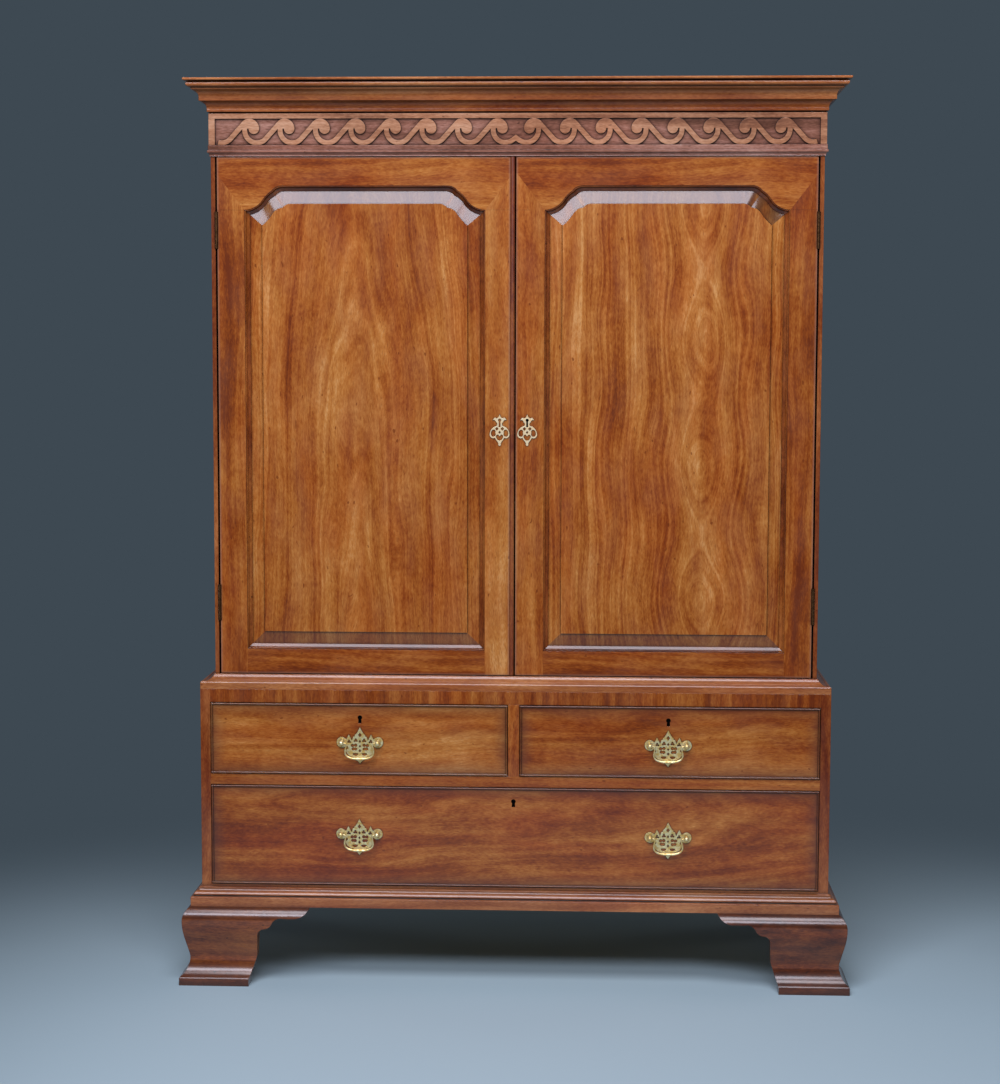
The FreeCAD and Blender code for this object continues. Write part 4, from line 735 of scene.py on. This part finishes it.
@dataclass
class Bail:
    """A swan-necked bail, hung in its two posts; sizes in mm from the middle of the posts' axis."""

    node: str
    neck: tuple[tuple[float, float], ...] = (
        (40.05, 0.0), (34.25, 0.0), (31.45, -0.1), (28.75, -1.6), (27.85, -5.0), (28.95, -10.5),
        (30.05, -16.5), (29.45, -22.5), (25.85, -27.6), (19.0, -31.2), (10.0, -32.9))
    foot: float = -33.2
    rod: float = 1.8
    grip: float = 3.0
    widening: int = 4  # over how many of the line's points the rod widens to the grip
    ease: float = 1.5  # how late in them it widens
    ring_sides: int = 24
    steps: int = 6

    def route(self) -> list[tuple[float, float, float]]:
        """The points of the bail's line.

        Returns:
            (across, up, radius) from one post to the other.
        """
        half = []
        for index, (across, up) in enumerate(self.neck):
            share = max(0, index + self.widening - len(self.neck)) / self.widening
            half.append((across, up, self.rod + (self.grip - self.rod) * share ** self.ease))
        back = [(-across, up, radius) for across, up, radius in half[::-1]]
        return half + [(0.0, self.foot, self.grip)] + back

    def smooth(self) -> list[tuple[float, float, float]]:
        """The same line with points in between, on a curve through each of them.

        Returns:
            (across, up, radius) at each ring.
        """
        points = [Vector(point) for point in self.route()]
        ends = [2 * points[0] - points[1]] + points + [2 * points[-1] - points[-2]]
        line = []
        for before, start, stop, after in zip(ends, ends[1:], ends[2:], ends[3:]):
            for step in range(self.steps):
                t = step / self.steps
                bend = 2 * start - 2 * stop + (stop - before) / 2 + (after - start) / 2
                pull = 3 * (stop - start) - (stop - before) - (after - start) / 2
                line.append(start + t * (stop - before) / 2 + t * t * pull + t ** 3 * bend)
        return [tuple(point) for point in line] + [tuple(points[-1])]

    def build(self, brass: bpy.types.Material) -> None:
        """Make the bail's mesh round its line and hang it on its body.

        Args:
            brass: its material.
        """
        low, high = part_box(self.node)
        hang = Vector(((low.x + high.x) / 2, (low.y + high.y) / 2, high.z - self.rod * MM))
        deep = Vector((0, 1, 0))
        line = self.smooth()
        verts, faces = [], []
        for index, (across, up, radius) in enumerate(line):
            ahead = line[min(index + 1, len(line) - 1)]
            behind = line[max(index - 1, 0)]
            along = Vector((ahead[0] - behind[0], 0, ahead[1] - behind[1])).normalized()
            out = deep.cross(along)
            for side in range(self.ring_sides):
                turn = 2 * math.pi * side / self.ring_sides
                spoke = deep * math.cos(turn) + out * math.sin(turn)
                verts.append(hang + (Vector((across, 0, up)) + spoke * radius) * MM)
        count = self.ring_sides
        for ring in range(len(line) - 1):
            for side in range(count):
                after = (side + 1) % count
                start = ring * count
                faces.append((start + side, start + after, start + count + after, start + count + side))
        faces.append(tuple(reversed(range(count))))
        faces.append(tuple(range(len(verts) - count, len(verts))))
        mesh = bpy.data.meshes.new(f"{self.node}_rod")
        mesh.from_pydata([tuple(vert) for vert in verts], [], faces)
        for face in mesh.polygons:
            face.use_smooth = len(face.vertices) < count
        mesh.materials.append(brass)
        piece = bpy.data.objects.new(f"{self.node}_rod", mesh)
        bpy.context.scene.collection.objects.link(piece)
        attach(piece, self.node)
        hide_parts(self.node)


@dataclass
class Drawer:
    """A drawer: its cockbeaded front, its oak box, its brasses and its bails."""

    name: str
    heart: tuple[float, float, float]
    figure: Figure
    bails: tuple[str, ...]
    tone: float
    shades: tuple[str, ...] = GOLDEN
    cockbead: float = 3.9
    side: float = 12.2  # mm in from the front's end to the inner face of a side

    def build(self, brass: bpy.types.Material, steel: bpy.types.Material) -> None:
        """Dress the drawer and hang its bails.

        Args:
            brass: the handles' material.
            steel: the bolt's material.
        """
        low, high = box_mm(f"{self.name}_front")
        edging = Edging(*front_of(f"{self.name}_front"), bead=self.cockbead)
        # planed flat and waxed: the figure runs level, darker where hands miss it at the border
        board = Board(Grain.ACROSS, self.heart, self.tone)
        front = Wood(self.shades, (board,), self.figure, edging=edging)
        dress(f"{self.name}_front", front.material(f"mahogany_waxed_{self.name}"))
        between = Board(
            Grain.ACROSS, (0.0, 60.0, 200.0), 0.0,
            (low.x + self.side, -FAR, -FAR), (high.x - self.side, FAR, FAR))
        sides = Board(Grain.DEEP, (0.0, 60.0, 100.0))
        inner = Wood(OAK_SHADES, (sides, between), coat=0.0, roughness=0.6)
        dress(f"{self.name}_box", inner.material(f"oak_planed_{self.name}"))
        dress(f"{self.name}_brasswork", brass)
        dress(f"{self.name}_lock_bolt", steel)
        for node in self.bails:
            Bail(node).build(brass)


@dataclass
class Cupboard:
    """The cupboard's sides, boards, frieze and upper mouldings."""

    corner: tuple[float, float] = CUPBOARD_CORNER
    back_count: int = 5
    # node, palette, how far in mm dirt and painted shade reach out of its corners, and the open share where
    # they end
    trim: tuple[tuple[str, tuple[str, ...], float, float], ...] = (
        ("neck_moulding", ROSY, 8.0, 0.97), ("cornice_moulding", RED_BROWN, 9.0, 0.97),
        ("frieze_border", TAN, 5.0, 0.97), ("frieze_board", ROSY, 10.0, 0.995),
        ("frieze_scroll", TAN, 4.0, 0.97))

    def build(self, old_brass: bpy.types.Material) -> None:
        """Dress the cupboard.

        Args:
            old_brass: the hinges' material.
        """
        for name, heart in (("left", -820.0), ("right", 900.0)):
            board = Board(Grain.UPRIGHT, (900.0, heart, 60.0))
            side = Wood(RED_BROWN, (board,), Figure(ring=22.0, lean=0.03))
            dress(f"press_side_{name}", side.material(f"mahogany_waxed_press_side_{name}"))
        oak = Wood(OAK_SHADES, (Board(Grain.ACROSS, (0.0, 60.0, 700.0)),), coat=0.0, roughness=0.62)
        for node in ("press_boards", "tray_runners"):
            dress(node, oak.material(f"oak_planed_{node}"))
        Back("press_back_boards", self.back_count).build()
        dress("hinge_leaves_case", old_brass)
        runs = (
            Board(Grain.ACROSS, (0.0, 1500.0, -520.0), tone=0.07),
            Board(Grain.DEEP, (0.0, 1500.0, 900.0), tone=0.07, mitred_at=sum(self.corner)))
        even = Figure(lean=0.01, wander=6.0, ribbons=0.8, mottles=0.3, blush=0.3, haze=0.2)
        # cut and bleached by the sun, with a thinner wax: paler faces, with dark dirt and painted shade in
        # every corner
        for node, shades, reach, clear in self.trim:
            wood = Wood(
                shades, runs, even, coat=0.6, grime_and_shade="#200802", grime_and_shade_reach=reach, grime_and_shade_depth=0.97,
                grime_and_shade_span=(0.5, clear))
            dress(node, wood.material(f"mahogany_waxed_{node}"))


@dataclass
class Door:
    """A panelled door: frame, fielded panel, planted moulding and brasses; sizes in mm."""

    name: str
    opening: tuple[float, float]
    hearts: tuple[tuple[float, float, float], ...]
    tones: tuple[float, ...]
    panel: Figure
    panel_heart: tuple[float, float, float]
    panel_shades: tuple[str, ...] = GOLDEN
    shoulder: float = 1630.0
    mitre_rise: float = 1.3  # how steeply the top rail's grain meets the stiles'
    trim_width: float = 11.0  # how wide the planted moulding's uprights are

    def build(self, brass: bpy.types.Material, old_brass: bpy.types.Material) -> None:
        """Dress the door.

        Args:
            brass: the escutcheon's material.
            old_brass: the hinges' material.
        """
        left, right = self.opening
        first, second, top, foot = zip(self.hearts, self.tones)
        boards = (
            Board(Grain.UPRIGHT, *first),
            Board(Grain.UPRIGHT, *second, (right, -FAR, -FAR), (FAR, FAR, FAR)),
            Board(Grain.ACROSS, *foot, (left, -FAR, -FAR), (right, FAR, self.shoulder)),
            Board(Grain.ACROSS, *top, (-FAR, -FAR, self.shoulder),
                  mitre=((left + right) / 2, (right - left) / 2, self.mitre_rise)))
        # lighter towards the frame's outer edges: rubbed wear, and a painted highlight of the rounded edge
        worn = Edging(*front_of(f"{self.name}_frame"), fade=5.0, depth=0.5, stain="#a07a66")
        framing = Wood(GOLDEN, boards, Figure(lean=0.03), edging=worn)
        dress(f"{self.name}_frame", framing.material(f"mahogany_waxed_{self.name}_frame"))
        # a wide board cut near its log's heart: tall flames of grain
        # its faces that look up or down are painted darker as shade, and a narrow painted shade lines the
        # field's step and the moulding
        panel = Wood(
            self.panel_shades, (Board(Grain.UPRIGHT, self.panel_heart),), self.panel,
            grime_and_shade_reach=7.0, grime_and_shade_depth=0.7, grime_and_shade_span=(0.74, 0.99), facing_shade=0.72)
        dress(f"{self.name}_panel", panel.material(f"mahogany_figured_{self.name}_panel"))
        level = Board(
            Grain.ACROSS, (0.0, 1300.0, -700.0), 0.1,
            (left + self.trim_width, -FAR, -FAR), (right - self.trim_width, FAR, FAR))
        upright = Board(Grain.UPRIGHT, (1100.0, 300.0, -700.0), tone=0.22)
        # the moulding's faces that look up or down are painted darker, as shade, with painted shade in its
        # corners
        trim = Wood(BROWN, (upright, level), specular=0.1, grime_and_shade_reach=6.0, facing_shade=0.4)
        dress(f"{self.name}_moulding", trim.material(f"mahogany_waxed_{self.name}_moulding"))
        dress(f"{self.name}_escutcheon", brass)
        dress(f"{self.name}_brasswork", old_brass)


@dataclass
class Trays:
    """The sliding trays behind the doors."""

    count: int = 4
    wall: float = 12.0  # mm, a side's thickness
    side_step: float = 200.0  # mm in the log from one tray's sides to the next's
    front_step: float = 150.0

    def build(self) -> None:
        """Dress the trays."""
        low, high = box_mm("tray_1")
        inner, outer = (low.x + self.wall, -FAR, -FAR), (high.x - self.wall, FAR, FAR)
        for number in range(1, self.count + 1):
            sides = Board(Grain.DEEP, (0.0, self.side_step * number, 400.0))
            between = Board(Grain.ACROSS, (0.0, self.front_step * number, -200.0), 0.0, inner, outer)
            oak = Wood(OAK_SHADES, (sides, between), coat=0.0, roughness=0.6)
            dress(f"tray_{number}", oak.material(f"oak_planed_tray_{number}"))


@dataclass(frozen=True)
class Softbox:
    """A softbox that faces the press: its light, its place in degrees and metres, and its size in metres."""

    name: str
    colour: str
    turn: float  # degrees round from straight in front, to the right
    rise: float  # degrees up
    distance: float
    wide: float
    tall: float
    radiance: float  # how bright its face is, where 1 is white and nothing narrows its spread
    spread: float = 180.0  # the whole angle in degrees that its grid lets out

    def hang(self, aim: Vector) -> None:
        """Hang the softbox.

        Args:
            aim: the point that it faces.
        """
        lamp = bpy.data.lights.new(self.name, "AREA")
        lamp.shape = "RECTANGLE"
        lamp.size = self.wide
        lamp.size_y = self.tall
        lamp.energy = self.radiance * math.pi * self.wide * self.tall
        lamp.color = linear(self.colour)[:3]
        lamp.spread = math.radians(self.spread)
        box = bpy.data.objects.new(self.name, lamp)
        bpy.context.scene.collection.objects.link(box)
        turn, rise = math.radians(self.turn), math.radians(self.rise)
        out = Vector((math.sin(turn) * math.cos(rise), -math.cos(turn) * math.cos(rise), math.sin(rise)))
        box.location = aim + out * self.distance
        box.rotation_euler = (-out).to_track_quat(*TRACK_CAMERA).to_euler()
        box.visible_camera = False


@dataclass
class Studio:
    """A plain pale floor that fades into an even surround, and the softboxes."""

    floor_half: float = 30.0
    floor_colour: str = "#a9c2cc"
    floor_roughness: float = 0.8
    background: str = "#3e4952"
    pool: tuple[float, float, float] = (0.25, -0.85, 0.0)  # the middle of the floor that shows
    fade: tuple[float, float] = (0.6, 2.7)  # metres out from it
    ambient: float = 0.04
    softboxes: tuple[Softbox, ...] = (
        Softbox("key_softbox", "#f0f0ff", -8.0, 31.0, 4.6, 3.9, 1.15, 11.2),
        Softbox("top_softbox", "#faf5ff", 0.0, 55.0, 4.2, 3.0, 1.5, 8.6),
        Softbox("rear_left_softbox", "#ffffff", -114.0, -4.0, 4.6, 1.7, 1.2, 0.55, spread=36.0),
        Softbox("rear_right_softbox", "#ffffff", 114.0, -4.0, 4.6, 1.7, 1.2, 0.55, spread=36.0))
    aim: tuple[float, float, float] = (0.0, -0.25, 1.1)

    def build(self) -> None:
        """Lay the floor, hang the lights and set the surround."""
        half = self.floor_half
        corners = [(-half, -half, 0), (half, -half, 0), (half, half, 0), (-half, half, 0)]
        mesh = bpy.data.meshes.new("floor")
        mesh.from_pydata(corners, [], [(0, 1, 2, 3)])
        # rolled matt paint: pale, with no highlight, fading into the surround
        made, graph = blank("floor_matt_paint")
        paint = {"Base Color": linear(self.floor_colour), "Roughness": self.floor_roughness}
        painted = graph.add("BsdfPrincipled", paint)
        point = graph.add("TexCoord", out="Object")
        away = graph.add("VectorMath", {0: point, 1: self.pool}, {"operation": "DISTANCE"}, "Value")
        start, stop = self.fade
        lost = graph.add(
            "MapRange", {0: away, 1: start, 2: stop}, {"interpolation_type": "SMOOTHERSTEP"})
        surround = graph.add("Emission", {"Color": linear(self.background), "Strength": 1.0})
        surface = graph.add("MixShader", {0: lost, 1: painted, 2: surround})
        graph.add("OutputMaterial", {"Surface": surface})
        mesh.materials.append(made)
        floor = bpy.data.objects.new("floor", mesh)
        bpy.context.scene.collection.objects.link(floor)
        for softbox in self.softboxes:
            softbox.hang(Vector(self.aim))
        self.surround()

    def surround(self) -> None:
        """Light the press evenly, and show a pale surround to the camera and to shiny surfaces."""
        world = bpy.data.worlds.new("pale_surround")
        world.use_nodes = True
        bpy.context.scene.world = world
        graph = Graph(world.node_tree)
        seen: Link | float = 0.0
        for ray in ("Is Camera Ray", "Is Glossy Ray", "Is Transmission Ray"):
            kind = graph.add("LightPath", out=ray)
            seen = graph.add("Math", {0: seen, 1: kind}, {"operation": "MAXIMUM"})
        even = graph.add("Background", {"Color": (1, 1, 1, 1), "Strength": self.ambient})
        pale = graph.add("Background", {"Color": linear(self.background), "Strength": 1.0})
        both = graph.add("MixShader", {0: seen, 1: even, 2: pale})
        graph.add("OutputWorld", {"Surface": both})


@dataclass
class Viewpoint:
    """The camera, a little right of the middle and looking slightly down: metres, mm and degrees."""

    place: tuple[float, float, float] = (0.170, -4.7223, 1.3455)
    lens: float = 71.57
    sensor: float = 36.0
    turn: float = -2.558
    drop: float = 5.143
    roll: float = 0.139

    def build(self) -> None:
        """Make the camera and give it to the scene."""
        data = bpy.data.cameras.new("camera")
        data.lens = self.lens
        data.sensor_width = self.sensor
        camera = bpy.data.objects.new("camera", data)
        bpy.context.scene.collection.objects.link(camera)
        turn, drop, roll = (math.radians(angle) for angle in (self.turn, self.drop, self.roll))
        level_share = math.cos(drop)
        ahead = Vector((math.sin(turn) * level_share, math.cos(turn) * level_share, -math.sin(drop)))
        level = Vector((math.cos(turn), -math.sin(turn), 0))
        upright = level.cross(ahead)
        right = level * math.cos(roll) + upright * math.sin(roll)
        up = upright * math.cos(roll) - level * math.sin(roll)
        facing = Matrix((right, up, -ahead)).transposed().to_4x4()
        camera.matrix_world = Matrix.Translation(self.place) @ facing
        bpy.context.scene.camera = camera


def main() -> None:
    """Dress the press, hang its bails, and set the studio and the camera."""
    logging.basicConfig(level=logging.INFO, format="%(message)s")
    bpy.context.scene.view_settings.view_transform = "Standard"
    # cast brass under old clouded lacquer: pale, with soft glints
    brass = Brass("#ffeec4", "#f2d29c", clear=0.6).material("brass_cast_lacquered")
    # cast brass that hands rub: yellower, with brighter glints on its edges
    handles = Brass(lock_face=DRAWER_LOCK_FACE).material("brass_cast_rubbed")
    # cast brass that no one polishes: brown and dull, and nearly black in its corners
    tarnished = Brass(
        "#5e4024", "#42290f", "#1c0f06", roughness=0.5, clear=0.8, lock_face=DOOR_LOCK_FACE)
    old_brass = tarnished.material("brass_cast_tarnished")
    # forged steel, filed and left to age: dull grey with brown specks
    steel = Steel().material("steel_filed")
    Feet().build()
    LOG.info("feet")
    Chest().build()
    LOG.info("chest")
    drawers = (
        Drawer(
            "drawer_left", (-300.0, 560.0, -330.0), Figure(lean=0.03), ("drawer_left_bail",), tone=0.12),
        Drawer(
            "drawer_right", (300.0, 580.0, -330.0), Figure(lean=0.03), ("drawer_right_bail",),
            tone=-0.04),
        Drawer(
            "drawer_long", (-330.0, 392.0, -262.0),
            Figure(
                ring=26.0, rings=0.55, line=8.0, lean=0.15, wander=22.0, ribbons=0.7, blush=0.6,
                haze=0.0),
            ("drawer_long_bail_left", "drawer_long_bail_right"), tone=-0.17))
    for drawer in drawers:
        drawer.build(handles, steel)
        LOG.info(drawer.name)
    Cupboard().build(old_brass)
    LOG.info("cupboard")
    # hearts and tones of the left stile, the right stile, the top rail and the bottom rail
    left = Door(
        "door_left", (-565.0, -63.0),
        hearts=(
            (900.0, -760.0, -320.0), (1500.0, -34.0, -250.0),
            (-300.0, 1780.0, -300.0), (-300.0, 640.0, -300.0)),
        tones=(-0.12, 0.04, -0.1, -0.18),
        panel=Figure(ring=46.0, rings=0.6, line=6.0, lines=0.5, lean=0.1, wander=20.0, ribbons=0.8),
        panel_heart=(600.0, -330.0, -224.0))
    right = Door(
        "door_right", (60.2, 565.0),
        hearts=(
            (300.0, 150.0, -280.0), (900.0, 760.0, -320.0),
            (300.0, 1780.0, -300.0), (300.0, 640.0, -300.0)),
        tones=(-0.04, -0.22, -0.16, -0.18),
        panel=Figure(
            ring=34.0, rings=0.8, line=6.0, lines=0.6, lean=0.0, swell=44.0, wander=16.0, ribbon=34.0,
            ribbons=1.0),
        panel_heart=(1097.0, 391.0, -226.0))
    for door in (left, right):
        door.build(brass, old_brass)
        LOG.info(door.name)
    bead = Wood(RED_BROWN, (Board(Grain.UPRIGHT, (900.0, 200.0, -700.0), -0.2),), specular=0.5)
    dress("meeting_bead", bead.material("mahogany_waxed_meeting_bead"))
    for node in ("flush_bolt_top", "flush_bolt_bottom"):
        dress(node, brass)
    dress("door_lock_bolt", steel)
    Trays().build()
    LOG.info("trays")
    Studio().build()
    Viewpoint().build()
    LOG.info("studio and camera")


if __name__ == "__main__":
    main()
